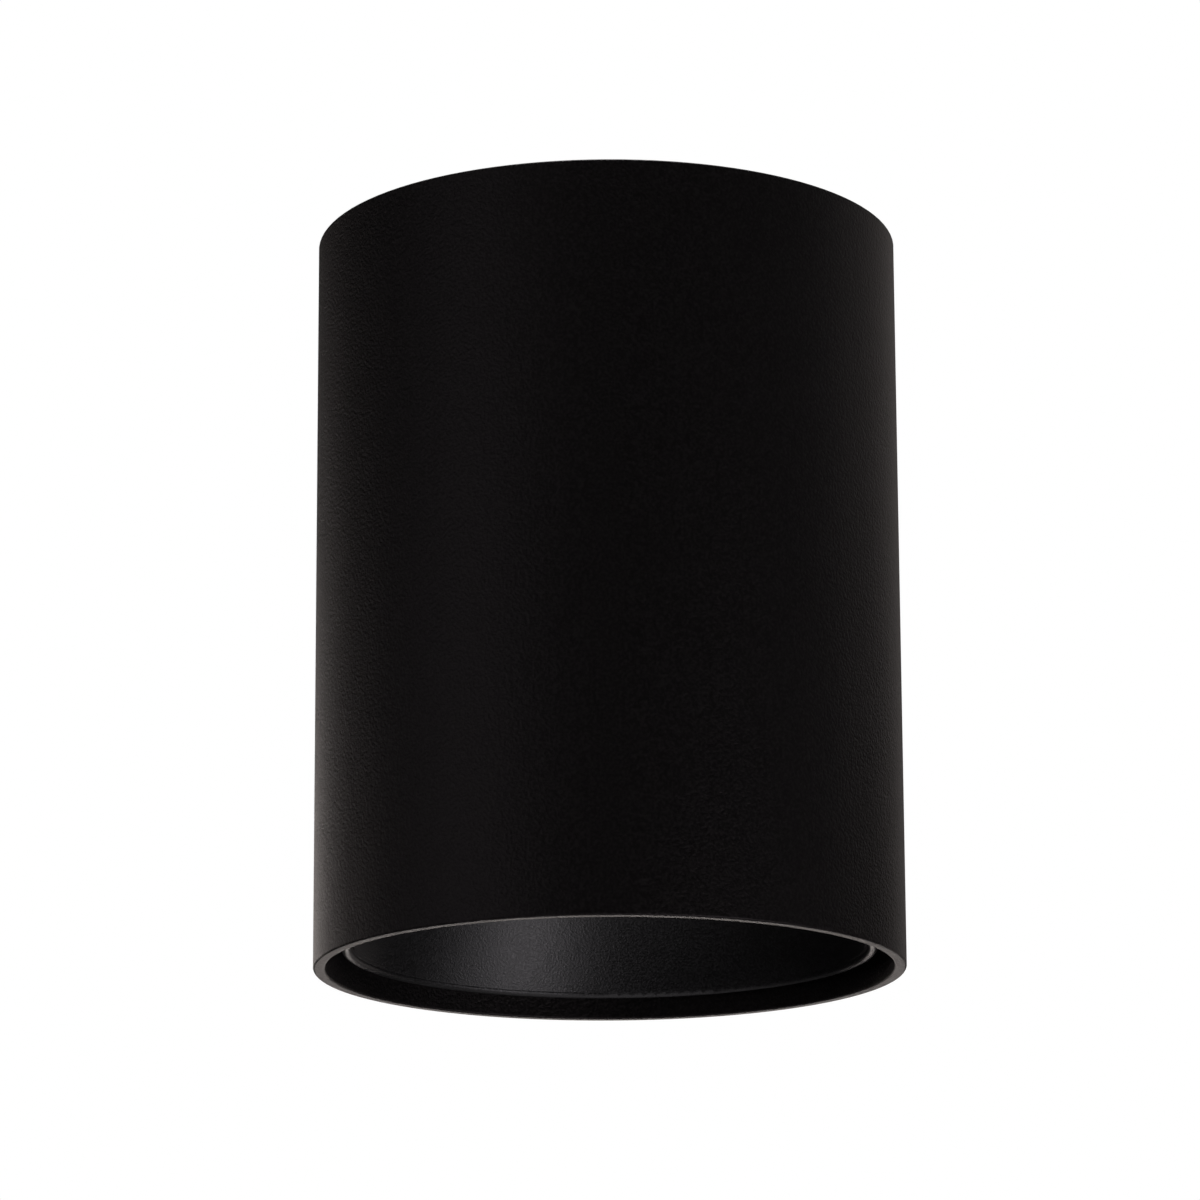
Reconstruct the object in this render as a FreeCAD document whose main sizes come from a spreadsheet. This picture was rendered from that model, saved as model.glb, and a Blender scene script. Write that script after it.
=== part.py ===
import FreeCAD, Part
import math
import os
import re

import Sketcher

# Surface-mounted downlight: a plain black tube that hangs on a ceiling plate
# by a twist lock, with a driver on a tray, a finned heat sink, a light source
# and a deep black reflector. Lengths are in millimetres.
# The origin is the middle of the ceiling face, and the fitting hangs down from it.

HOUSING_SIZES = (
    ("tube_outer_diameter", 98.0, "outside of the housing tube"),
    ("tube_wall", 2.0, "wall of the housing tube"),
    ("ceiling_gap", 0.5, "from the ceiling to the tube's top edge"),
    ("rim_edge_radius", 0.35, "rounding of the bare bottom rim"),
    ("top_edge_radius", 0.3, "rounding of the tube's top edge"),
    ("port_width", 8.0, "width of a screw port along the wall"),
    ("port_depth", 7.0, "how far a screw port stands in from the wall"),
    ("port_angle", 30.0, "direction of the first screw port, in degrees"),
)
PLATE_SIZES = (
    ("plate_thickness", 1.5, "sheet of the ceiling plate"),
    ("plate_gap", 0.5, "from the plate's edge to the tube"),
    ("plate_flange_depth", 4.0, "depth of the plate's folded edge"),
    ("ceiling_slot_spacing", 60.0, "between the two ceiling screw slots"),
    ("ceiling_slot_length", 12.0, "length of a ceiling screw slot"),
    ("ceiling_slot_width", 5.0, "width of a ceiling screw slot"),
    ("cable_hole_diameter", 14.0, "hole in the plate for the grommet"),
    ("dish_diameter", 26.0, "floor of the pressed dish round the grommet"),
    ("dish_depth", 2.0, "depth of the pressed dish"),
    ("dish_lean", 0.6, "how much the dish's wall leans in the sheet"),
    ("grommet_bore_diameter", 7.0, "bore of the grommet, for the supply cable"),
    ("grommet_flange", 2.5, "how far the grommet's flanges stand over the plate"),
    ("grommet_flange_thickness", 1.5, "thickness of a grommet flange"),
)
TWIST_LOCK_SIZES = (
    ("screw_head_room", 5.5, "from the plate's sheet to the bayonet ring"),
    ("ring_thickness", 1.5, "sheet of the bayonet ring"),
    ("ring_width", 16.0, "from the tube's bore to the ring's inner edge"),
    ("ring_gap", 0.2, "from the ring's outer edge to the tube"),
    ("stud_inset", 9.0, "from the tube's bore to the stud circle"),
    ("stud_angle", 90.0, "direction of the first stud, in degrees"),
    ("stud_tenon_diameter", 3.4, "part of a stud that is riveted in the plate"),
    ("stud_neck_diameter", 4.0, "neck of a stud"),
    ("stud_head_diameter", 8.0, "head of a stud"),
    ("stud_head_thickness", 2.0, "thickness of a stud's head"),
    ("stud_head_gap", 0.1, "from the ring to a stud's head"),
    ("keyhole_gap", 0.3, "round a stud's neck in the narrow slot"),
    ("keyhole_head_gap", 1.1, "round a stud's head in the wide hole"),
    ("twist_angle", 18.0, "turn from locked to unlocked, in degrees"),
    ("spring_inset", 12.0, "from the tube's bore to a leaf spring's middle"),
    ("spring_angle", 120.0, "direction of the first leaf spring, in degrees"),
    ("spring_length", 18.0, "length of a leaf spring"),
    ("spring_width", 6.0, "width of a leaf spring"),
    ("spring_thickness", 0.4, "sheet of a leaf spring"),
    ("spring_pad_length", 6.0, "riveted end of a leaf spring"),
    ("spring_foot_length", 3.0, "end of a leaf spring that presses on the ring"),
    ("spring_foot_gap", 0.05, "from the leaf spring's foot to the ring"),
    ("rivet_diameter", 2.4, "shank of a leaf spring's rivet"),
    ("rivet_head_diameter", 4.4, "head of a leaf spring's rivet"),
    ("rivet_head_height", 0.9, "height of a leaf spring's rivet head"),
)
SCREW_SIZES = (
    ("screw_diameter", 3.0, "shank of every screw"),
    ("screw_head_diameter", 5.6, "head of every screw"),
    ("screw_head_height", 1.9, "height of every screw's head"),
    ("screw_head_taper", 0.6, "how much a screw's head narrows to its top"),
    ("recess_length", 3.0, "length of the cross in a screw's head"),
    ("recess_width", 0.7, "width of the cross in a screw's head"),
    ("recess_depth", 0.9, "depth of the cross in a screw's head"),
    ("hole_gap", 0.05, "round a screw or a rivet in its hole"),
    ("cut_overrun", 0.5, "how far a cut passes the face that it starts from"),
    ("ring_screw_length", 8.0, "shank of a screw of the bayonet ring"),
    ("sink_screw_length", 10.0, "shank of a screw of the heat sink"),
    ("tray_screw_length", 6.0, "shank of a screw of the tray"),
    ("base_screw_length", 5.0, "shank of a screw of the driver and of the terminal block"),
    ("earth_screw_length", 4.0, "shank of the earth screw"),
    ("clamp_screw_length", 4.0, "shank of the cable clamp's screw"),
    ("holder_screw_length", 6.0, "shank of a screw of the lamp holder"),
)
HEAT_SINK_SIZES = (
    ("wiring_room", 40.3, "from the bayonet ring down to the tray"),
    ("tray_thickness", 1.2, "sheet of the tray"),
    ("tray_gap", 2.0, "from the tray's edge to the tube"),
    ("notch_gap", 1.0, "round a screw port in the tray"),
    ("fin_air_gap", 2.0, "from the fins up to the tray"),
    ("fin_height", 14.0, "height of the fins"),
    ("fin_thickness", 1.6, "thickness of a fin"),
    ("fin_pitch", 6.5, "from fin to fin"),
    ("fin_port_gap", 1.5, "from the fins to the screw ports"),
    ("sink_base_thickness", 4.0, "base of the heat sink"),
    ("sink_gap", 0.2, "from the heat sink to the tube"),
    ("pillar_inset", 5.0, "from the tube's bore to the pillars"),
    ("pillar_across_corners", 6.4, "hexagon of a pillar"),
    ("pillar_stud_gap", 0.5, "from the end of a pillar's stud to the base's underside"),
    ("pillar_bore_depth", 7.0, "threaded bore in a pillar's top"),
    ("lead_hole_inset", 11.0, "from the tube's bore to the lamp leads"),
    ("lead_hole_length", 5.0, "lead hole, away from the axis"),
    ("lead_hole_width", 8.0, "lead hole, along the tube's wall"),
)
DRIVER_SIZES = (
    ("sheet_thickness", 0.4, "insulating sheet under the driver"),
    ("sheet_margin", 0.8, "how far the sheet stands out round the driver"),
    ("driver_end_room", 17.0, "from the driver's ends to the tube's bore"),
    ("driver_back_room", 15.0, "from the driver's back to the tube's bore"),
    ("driver_front", 2.0, "from the axis to the driver's front"),
    ("driver_wall", 1.5, "wall of the driver's case"),
    ("driver_base_height", 9.0, "height of the lower half of the case"),
    ("board_level", 4.0, "from the case's underside to the board"),
    ("board_ledge", 1.8, "width of the ledge that carries the board"),
    ("board_thickness", 1.6, "thickness of the driver's board"),
    ("board_gap", 0.2, "round the board in its case"),
    ("cover_gap", 1.0, "from the tallest piece on the board to the cover"),
    ("vent_length", 9.0, "length of a vent slot"),
    ("vent_width", 1.4, "width of a vent slot"),
    ("vent_pitch", 3.4, "from vent slot to vent slot"),
    ("ear_length", 7.0, "how far a fixing ear stands out"),
    ("ear_width", 7.0, "width of a fixing ear"),
    ("ear_thickness", 2.5, "thickness of a fixing ear"),
    ("ear_offset", 1.5, "from the axis back to the driver's ears"),
    ("core_length", 13.0, "transformer core"),
    ("core_depth", 8.0, "transformer core, front to back"),
    ("core_height", 11.0, "transformer core"),
    ("core_leg", 2.0, "outer legs and yokes of the core"),
    ("core_middle_leg", 3.6, "middle leg of the core"),
    ("winding_overhang", 2.0, "how far the winding stands out of the core"),
    ("winding_gap", 0.2, "round the winding in the core"),
    ("reservoir_diameter", 8.0, "reservoir capacitor"),
    ("reservoir_height", 13.0, "reservoir capacitor, the tallest piece on the board"),
    ("output_diameter", 7.0, "output capacitor"),
    ("output_height", 10.5, "output capacitor"),
    ("can_edge_radius", 0.6, "rounded shoulder of a capacitor's can"),
    ("film_length", 8.0, "film capacitor"),
    ("film_depth", 5.0, "film capacitor, front to back"),
    ("film_height", 9.0, "film capacitor"),
    ("choke_diameter", 8.0, "flanges of the filter choke"),
    ("choke_height", 8.0, "filter choke"),
    ("choke_waist", 1.0, "how deep the choke's winding lies in its flanges"),
    ("choke_flange", 1.2, "thickness of the choke's flanges"),
    ("chip_length", 4.0, "rectifier and switch chips"),
    ("chip_width", 3.4, "rectifier and switch chips, front to back"),
    ("chip_height", 1.6, "rectifier and switch chips"),
    ("selector_depth", 6.0, "selector switch, in from the case's end"),
    ("selector_length", 11.0, "selector switch, along the case's end"),
    ("selector_height", 5.0, "selector switch"),
    ("selector_end_gap", 0.4, "from the selector switch to the case's end wall"),
    ("slider_width", 2.5, "selector's slider, along its travel"),
    ("slider_height", 2.0, "selector's slider"),
    ("slider_level", 0.6, "from the board up to the slider"),
    ("slider_stand_out", 1.6, "how far the slider stands out of the case"),
    ("slider_depth", 3.0, "how far the slider reaches into the switch"),
    ("slider_travel", 2.0, "from the slider's middle place to each end"),
    ("slider_gap", 0.2, "round the slider in its window"),
)
WIRING_SIZES = (
    ("block_front", 14.0, "from the axis to the terminal block"),
    ("block_depth", 16.0, "terminal block, front to back"),
    ("block_height", 12.0, "height of the terminal block"),
    ("block_floor", 1.5, "floor of the terminal block"),
    ("pole_pitch", 9.0, "from pole to pole"),
    ("pole_wall", 2.6, "wall between the poles"),
    ("lever_slot_length", 6.6, "slot for a lever's hub"),
    ("lever_slot_depth", 4.8, "slot for a lever's hub, down from the top"),
    ("pivot_inset", 3.6, "from the block's back to the levers' pin"),
    ("pivot_depth", 1.9, "from the block's top down to the levers' pin"),
    ("pin_diameter", 1.6, "steel pin of the levers"),
    ("pin_end_gap", 0.3, "from the pin's ends to the block's ends"),
    ("lever_gap", 0.4, "from a lever to the walls of its slot"),
    ("lever_hub_diameter", 4.8, "hub of a lever"),
    ("lever_reach", 12.5, "from the pin to a lever's tip"),
    ("lever_thickness", 2.0, "arm of a lever"),
    ("lever_rest_gap", 0.15, "from a closed lever to the block's top"),
    ("lever_tip_height", 0.7, "raised lip at a lever's tip"),
    ("lever_tip_length", 1.6, "raised lip at a lever's tip, along the arm"),
    ("cavity_front_wall", 3.5, "from the block's front to a clamp's cavity"),
    ("cavity_side_wall", 1.9, "half the wall between two cavities"),
    ("entry_level", 4.2, "from the block's underside to the wire entries"),
    ("entry_diameter", 3.2, "supply wire entry in the block's back"),
    ("bar_thickness", 0.8, "contact bar"),
    ("bar_gap", 0.3, "round a contact bar in its cavity"),
    ("clamp_strip", 0.4, "strip of a clamp spring"),
    ("clamp_foot", 0.8, "from the cavity's front to a clamp spring's edge"),
    ("clamp_height", 5.2, "height of a clamp spring"),
    ("block_ear_offset", 8.0, "from the block's front to the middle of its ears"),
    ("lead_diameter", 1.6, "insulated lead"),
    ("lead_hole_gap", 0.15, "round a lead in a hole"),
    ("lead_bend_reach", 6.3, "how far a lead's bend reaches from its corner, at most"),
    ("lead_insert", 1.0, "how far a lead goes into what it is clamped in"),
    ("driver_lead_level", 7.0, "from the case's underside to the leads"),
    ("driver_lead_insert", 2.0, "how far a lead goes past the case's wall"),
    ("lead_straight", 4.0, "straight end of a supply lead"),
    ("earth_inset", 19.0, "from the tube's bore to the earth screw"),
    ("earth_front", 7.5, "from the axis forward to the earth screw"),
    ("lug_diameter", 6.8, "ring of the earth lug"),
    ("lug_thickness", 0.8, "sheet of the earth lug"),
    ("lug_barrel_diameter", 2.8, "crimped barrel of the earth lug"),
    ("lug_barrel_length", 4.5, "crimped barrel of the earth lug"),
    ("washer_diameter", 6.2, "washer of the earth screw"),
    ("washer_thickness", 0.6, "washer of the earth screw"),
    ("clamp_side_gap", 1.0, "from the terminal block to the cable clamp"),
    ("clamp_bore_diameter", 6.6, "bore of the cable clamp"),
    ("clamp_wall", 1.5, "wall of the cable clamp"),
    ("clamp_width", 8.0, "width of the cable clamp"),
    ("clamp_front", 8.0, "from the axis forward to the cable clamp"),
    ("lead_pair_setback", 8.0, "from the axis back to the lamp leads"),
    ("lead_pair_spacing", 2.6, "between the two lamp leads"),
)
LAMP_SIZES = (
    ("pad_thickness", 0.5, "thermal pad"),
    ("pad_margin", 1.0, "how far the pad stays inside the lamp board"),
    ("lamp_board_length", 24.0, "square board of the light source"),
    ("lamp_board_thickness", 1.5, "board of the light source"),
    ("emitter_diameter", 18.0, "round light-emitting field"),
    ("emitter_height", 0.8, "height of the light-emitting field"),
    ("holder_diameter", 48.0, "lamp holder"),
    ("holder_thickness", 5.0, "lamp holder"),
    ("holder_pocket_gap", 0.25, "round the lamp board in the holder"),
    ("aperture_top_diameter", 20.0, "holder's opening at the lamp board"),
    ("aperture_bottom_diameter", 26.0, "holder's opening at the reflector"),
    ("holder_screw_inset", 4.0, "from the holder's edge in to its screws"),
    ("counterbore_depth", 2.3, "how deep the holder's screw heads lie"),
    ("counterbore_gap", 0.3, "round a screw head in the holder"),
    ("notch_depth", 4.0, "notch for the leads in the holder's edge"),
    ("notch_height", 4.2, "notch for the leads, down from the heat sink"),
    ("notch_margin", 1.0, "beside the leads in the notch"),
    ("lamp_lead_level", 2.6, "from the heat sink down to the leads"),
    ("hook_wall", 2.4, "wall of a hook that carries the reflector"),
    ("hook_gap", 0.6, "from the holder's edge out to a hook's inside"),
    ("hook_grip", 2.0, "how far a hook reaches in under the reflector"),
    ("hook_lip_thickness", 1.5, "lip of a hook"),
    ("hook_span", 20.0, "turn that a hook spans, in degrees"),
    ("hook_angle", 60.0, "direction of the first hook, in degrees"),
    ("stop_span", 3.0, "turn that a hook's stop spans, in degrees"),
)
REFLECTOR_SIZES = (
    ("reflector_seat_gap", 0.2, "from the holder to the reflector's flange"),
    ("reflector_height", 46.8, "reflector, flange to lip"),
    ("lip_recess", 3.0, "from the rim up to the reflector's lip"),
    ("lip_gap", 2.55, "from the tube's bore to the lip"),
    ("lip_width", 1.75, "width of the rounded lip"),
    ("lip_height", 2.4, "height of the lip's outer face"),
    ("groove_width", 0.5, "groove between the lip and the cone"),
    ("groove_depth", 0.6, "depth of that groove"),
    ("cone_wall", 1.2, "wall of the reflector's cone"),
    ("cone_curve_radius", 110.0, "curve of the cone's inside"),
    ("throat_diameter", 30.0, "narrow end of the cone"),
    ("flange_thickness", 3.0, "flange round the throat"),
    ("flange_inset", 2.5, "from the holder's edge in to the flange's edge"),
    ("tab_thickness", 1.6, "tab that a hook carries"),
    ("tab_gap", 0.4, "from a tab to its hook"),
    ("tab_span", 15.0, "turn that a tab spans, in degrees"),
    ("tab_rest_gap", 0.2, "from a tab down to its hook's lip"),
    ("stop_gap", 0.5, "from a tab to its hook's stop, in degrees"),
    ("diffuser_thickness", 1.5, "diffuser disc"),
    ("diffuser_seat", 1.8, "width of the ledge under the diffuser"),
    ("diffuser_gap", 0.2, "round the diffuser"),
    ("diffuser_top_gap", 0.1, "from the diffuser up to the flange's top"),
)
SIZE_TABLES = (
    HOUSING_SIZES,
    PLATE_SIZES,
    TWIST_LOCK_SIZES,
    SCREW_SIZES,
    HEAT_SINK_SIZES,
    DRIVER_SIZES,
    WIRING_SIZES,
    LAMP_SIZES,
    REFLECTOR_SIZES,
)

PORTS = 3
STUDS = 3
SPRINGS = 2
PILLARS = 3
PILLAR_SIDES = 6
HOOKS = 3
FINS = 11
VENTS = 5
POLE_STEPS = (-1, 0, 1)
SIDES = ("-", "+")

# Levels, radii and places that follow from the sizes above.
PLACES = {
    "bore_radius": "tube_outer_diameter / 2 - tube_wall",
    "plate_radius": "bore_radius - plate_gap",
    "cable_hole_radius": "cable_hole_diameter / 2",
    "dish_radius": "dish_diameter / 2",
    "grommet_radius": "cable_hole_radius - hole_gap",
    "grommet_flange_radius": "cable_hole_radius + grommet_flange",
    "ring_top": "-(plate_thickness + screw_head_room)",
    "ring_bottom": "ring_top - ring_thickness",
    "ring_inner_radius": "bore_radius - ring_width",
    "stud_circle": "bore_radius - stud_inset",
    "stud_head_top": "ring_bottom - stud_head_gap",
    "neck_slot_radius": "stud_neck_diameter / 2 + keyhole_gap",
    "spring_circle": "bore_radius - spring_inset",
    "spring_foot_bottom": "ring_top + spring_foot_gap",
    "port_circle": "bore_radius - port_depth / 2",
    "tray_top": "ring_bottom - wiring_room",
    "tray_bottom": "tray_top - tray_thickness",
    "fin_top": "tray_bottom - fin_air_gap",
    "sink_top": "fin_top - fin_height",
    "sink_bottom": "sink_top - sink_base_thickness",
    "pillar_circle": "bore_radius - pillar_inset",
    "lead_hole_reach": "bore_radius - lead_hole_inset",
    "driver_bottom": "tray_top + sheet_thickness",
    "driver_reach": "bore_radius - driver_end_room",
    "driver_back": "driver_back_room - bore_radius",
    "driver_length": "2 * driver_reach",
    "driver_width": "driver_front - driver_back",
    "driver_middle": "(driver_front + driver_back) / 2",
    "driver_split": "driver_bottom + driver_base_height",
    "board_bottom": "driver_bottom + board_level",
    "board_top": "board_bottom + board_thickness",
    "driver_top": "board_top + reservoir_height + cover_gap + driver_wall",
    "inner_length": "driver_length - 2 * driver_wall",
    "inner_width": "driver_width - 2 * driver_wall",
    "driver_lead_height": "driver_bottom + driver_lead_level",
    "ear_reach": "driver_reach + ear_length / 2",
    "selector_place": "(driver_back - lead_pair_setback) / 2",
    "selector_end": "driver_reach - driver_wall - selector_end_gap",
    "slider_bottom": "board_top + slider_level",
    "block_back": "block_front + block_depth",
    "block_top": "tray_top + block_height",
    "block_length": f"{len(POLE_STEPS)} * pole_pitch + pole_wall",
    "block_ear_middle": "block_front + block_ear_offset",
    "block_ear_reach": "block_length / 2 + ear_length / 2",
    "pole_slot_width": "pole_pitch - pole_wall",
    "lever_width": "pole_slot_width - 2 * lever_gap",
    "pivot_place": "block_back - pivot_inset",
    "pivot_level": "block_top - pivot_depth",
    "cavity_front": "block_front + cavity_front_wall",
    "cavity_back": "block_back - lever_slot_length",
    "cavity_width": "pole_pitch - 2 * cavity_side_wall",
    "cavity_floor": "tray_top + block_floor",
    "bar_top": "cavity_floor + bar_thickness",
    "entry_height": "tray_top + entry_level",
    "earth_reach": "bore_radius - earth_inset",
    "lug_start": "earth_reach - lug_diameter / 2 - lug_barrel_length",
    "barrel_level": "tray_top + (lug_barrel_diameter + lug_thickness) / 2",
    "clamp_radius": "clamp_bore_diameter / 2 + clamp_wall",
    "clamp_place": "-(block_length / 2 + clamp_side_gap + clamp_radius)",
    "clamp_screw_place": "clamp_place - clamp_radius - screw_head_diameter / 2",
    "holder_radius": "holder_diameter / 2",
    "holder_bottom": "sink_bottom - holder_thickness",
    "holder_screw_reach": "holder_radius - holder_screw_inset",
    "lamp_board_top": "sink_bottom - pad_thickness",
    "lamp_board_bottom": "lamp_board_top - lamp_board_thickness",
    "holder_ledge": "lamp_board_bottom",
    "lamp_lead_height": "sink_bottom - lamp_lead_level",
    "hook_inner_radius": "holder_radius + hook_gap",
    "hook_outer_radius": "hook_inner_radius + hook_wall",
    "hook_lip_radius": "hook_inner_radius - hook_grip",
    "flange_top": "holder_bottom - reflector_seat_gap",
    "flange_bottom": "flange_top - flange_thickness",
    "tab_bottom": "flange_top - tab_thickness",
    "hook_lip_top": "tab_bottom - tab_rest_gap",
    "hook_bottom": "hook_lip_top - hook_lip_thickness",
    "flange_radius": "holder_radius - flange_inset",
    "tab_radius": "hook_inner_radius - tab_gap",
    "throat_radius": "throat_diameter / 2",
    "diffuser_seat_radius": "throat_radius + diffuser_seat",
    "diffuser_radius": "diffuser_seat_radius - diffuser_gap",
    "diffuser_bottom": "flange_top - diffuser_top_gap - diffuser_thickness",
    "lip_level": "flange_top - reflector_height",
    "rim_level": "lip_level - lip_recess",
    "lip_radius": "bore_radius - lip_gap",
    "lip_bead_radius": "lip_width / 2",
    "lip_middle_level": "lip_level + lip_bead_radius",
    "lip_inner_radius": "lip_radius - lip_width",
    "cone_mouth_radius": "lip_inner_radius - groove_width",
}

# Places on the driver's board, as shares of the case's inner length and width.
TRANSFORMER_SHARES = (-0.24, 0.2)
FILM_SHARES = (0.06, 0.28)
CHOKE_SHARES = (0.28, 0.25)
RESERVOIR_SHARES = (-0.34, -0.26)
OUTPUT_SHARES = (-0.1, -0.28)
CHIP_SHARES = ((0.08, -0.12), (0.08, -0.32), (0.2, -0.12))

# A bend of a lead takes this share of the shorter run beside it.
BEND_SHARE = 0.45

FULL_TURN = 360
QUARTER_TURN = 90
UP = FreeCAD.Vector(0, 0, 1)
TURN_TO = {
    "up": FreeCAD.Rotation(),
    "right": FreeCAD.Rotation(FreeCAD.Vector(0, 1, 0), QUARTER_TURN),
    "back": FreeCAD.Rotation(FreeCAD.Vector(1, 0, 0), -QUARTER_TURN),
}
WORD = re.compile(r"[a-z][a-z_]*")

# How a sketch numbers the points of a line or an arc, and its own origin.
LINE_START = 1
LINE_END = 2
ARC_CENTRE = 3
SKETCH_ORIGIN = -1

# Levels and points that are closer than this are the same one.
SAME_PLACE = 1e-6

doc = FreeCAD.newDocument("downlight")
sheet = doc.addObject("Spreadsheet::Sheet", "sizes")
ALIASES = {alias for table in SIZE_TABLES for alias, value, note in table}
nodes = []


def fill_sheet():
    """Write every size into the sheet, one row each, with its alias and its note."""
    row = 1
    for table in SIZE_TABLES:
        for alias, value, note in table:
            sheet.set(f"A{row}", alias)
            sheet.set(f"B{row}", str(value))
            sheet.set(f"C{row}", note)
            sheet.setAlias(f"B{row}", alias)
            row += 1
    doc.recompute()


def expand(text):
    """Turn words for sizes and places into references to the sheet."""

    def swap(match):
        word = match.group(0)
        if word in PLACES:
            return "(" + expand(PLACES[word]) + ")"
        if word in ALIASES:
            return "sizes." + word
        return word

    return WORD.sub(swap, text)


def number(text):
    """The value of an expression, for the few shapes that are worked out in code."""
    return float(sheet.evalExpression(expand(text)))


def bind(item, prop, text):
    item.setExpression(prop, expand(text))


def move(item, x="0", y="0", z="0", turn=None):
    """Place an object by expressions; turn is an angle about the vertical."""
    for name, text in (("x", x), ("y", y), ("z", z)):
        bind(item, "Placement.Base." + name, text)
    if turn is not None:
        bind(item, "Placement.Rotation.Angle", turn)
    return item


def direction_of(angle, index, count):
    """The direction of one of several places that are spread evenly, the first of them at an angle."""
    return f"({angle}) + {FULL_TURN * index / count}"


def ring_place(radius, direction):
    """The x and y expressions of a place on a circle."""
    return f"({radius}) * cos({direction})", f"({radius}) * sin({direction})"


def cylinder(name, radius, length, x="0", y="0", z="0", axis="up"):
    item = doc.addObject("Part::Cylinder", name)
    item.Placement = FreeCAD.Placement(FreeCAD.Vector(), TURN_TO[axis])
    bind(item, "Radius", radius)
    bind(item, "Height", length)
    return move(item, x, y, z)


def cone(name, low_radius, high_radius, height, x="0", y="0", z="0"):
    item = doc.addObject("Part::Cone", name)
    bind(item, "Radius1", low_radius)
    bind(item, "Radius2", high_radius)
    bind(item, "Height", height)
    return move(item, x, y, z)


def box(name, length, width, height, x="0", y="0", z="0"):
    """A box whose middle is at x, y and whose underside is at z."""
    item = doc.addObject("Part::Box", name)
    bind(item, "Length", length)
    bind(item, "Width", width)
    bind(item, "Height", height)
    return move(item, f"({x}) - ({length}) / 2", f"({y}) - ({width}) / 2", z)


def sector(name, inner, outer, middle, span, z, height):
    """A piece of a ring, centred on the direction named middle."""
    solid = doc.addObject("Part::Cylinder", name + "_outer")
    bind(solid, "Radius", outer)
    bind(solid, "Height", height)
    bind(solid, "Angle", span)
    move(solid, z=z, turn=f"({middle}) - ({span}) / 2")
    hole = cylinder(name + "_inner", inner, f"({height}) + 2 * cut_overrun", z=f"({z}) - cut_overrun")
    return cut(name, solid, [hole])


def union(name, items):
    item = doc.addObject("Part::MultiFuse", name)
    item.Shapes = items
    return item


def common(name, first, second):
    item = doc.addObject("Part::Common", name)
    item.Base = first
    item.Tool = second
    return item


def cut(name, base, tools):
    item = doc.addObject("Part::Cut", name)
    item.Base = base
    item.Tool = tools[0] if len(tools) == 1 else union(name + "_cuts", tools)
    return item


def group(name, items):
    item = doc.addObject("Part::Compound", name)
    item.Links = items
    return item


def node(label, item):
    """Name a finished sub-part and put it on the list of those to write."""
    item.Label = label
    nodes.append(item)
    return item


def new_sketch(body, name, role, level=None):
    plane = [part for part in body.Origin.OriginFeatures if part.Role == role][0]
    sketch = body.newObject("Sketcher::SketchObject", name)
    sketch.AttachmentSupport = (plane, [""])
    sketch.MapMode = "FlatFace"
    if level is not None:
        bind(sketch, "AttachmentOffset.Base.z", level)
    return sketch


def pin_point(sketch, index, end, x, y):
    """Hold one end of a sketch line at expressions for x and y."""
    for kind, text in (("DistanceX", x), ("DistanceY", y)):
        place = sketch.addConstraint(
            Sketcher.Constraint(kind, SKETCH_ORIGIN, LINE_START, index, end, number(text))
        )
        bind(sketch, f"Constraints[{place}]", text)


def arc_between(start, end, radius, side):
    """An arc from start to end that bulges to the left of the line, or with side -1 to its right."""
    along = end - start
    across = UP.cross(along).normalize() * side
    half = along.Length / 2
    centre = (start + end) / 2 - across * math.sqrt(radius * radius - half * half)
    first, last = (end, start) if side > 0 else (start, end)
    opening = math.atan2(first.y - centre.y, first.x - centre.x)
    closing = math.atan2(last.y - centre.y, last.x - centre.x)
    swept = (closing - opening) % (2 * math.pi)
    return Part.ArcOfCircle(Part.Circle(centre, UP, radius), opening, opening + swept)


def outline(sketch, corners):
    """Draw a closed outline. A corner is x, y and, where an arc leaves it, a radius and a side."""
    points = [FreeCAD.Vector(number(corner[0]), number(corner[1]), 0) for corner in corners]
    for index, corner in enumerate(corners):
        start = points[index]
        end = points[(index + 1) % len(points)]
        if len(corner) == 2:
            sketch.addGeometry(Part.LineSegment(start, end), False)
        else:
            sketch.addGeometry(arc_between(start, end, number(corner[2]), corner[3]), False)
    for index, corner in enumerate(corners):
        last = (index - 1) % len(corners)
        starts = end_of(sketch, index, points[index])
        ends = end_of(sketch, last, points[index])
        sketch.addConstraint(Sketcher.Constraint("Coincident", last, ends, index, starts))
        pin_point(sketch, index, starts, corner[0], corner[1])
        if len(corner) > 2:
            place = sketch.addConstraint(Sketcher.Constraint("Radius", index, number(corner[2])))
            bind(sketch, f"Constraints[{place}]", corner[2])


def end_of(sketch, index, point):
    """Which end of a sketch line lies at a point: an arc is always stored anticlockwise."""
    line = sketch.Geometry[index]
    nearer_start = (line.StartPoint - point).Length <= (line.EndPoint - point).Length
    return LINE_START if nearer_start else LINE_END


def turned_body(name, corners):
    """A body turned about the vertical from a half section of radii and levels."""
    body = doc.addObject("PartDesign::Body", name)
    sketch = new_sketch(body, name + "_section", "XZ_Plane")
    outline(sketch, corners)
    turn = body.newObject("PartDesign::Revolution", name + "_turn")
    turn.Profile = sketch
    turn.ReferenceAxis = (sketch, ["V_Axis"])
    turn.Angle = FULL_TURN
    return body


def padded_body(name, role, corners, width):
    """A body with one outline, padded by half the width to each side of its plane."""
    body = doc.addObject("PartDesign::Body", name)
    sketch = new_sketch(body, name + "_outline", role)
    outline(sketch, corners)
    pad = body.newObject("PartDesign::Pad", name + "_pad")
    pad.Profile = sketch
    pad.SideType = "Symmetric"
    bind(pad, "Length", width)
    return body


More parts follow.
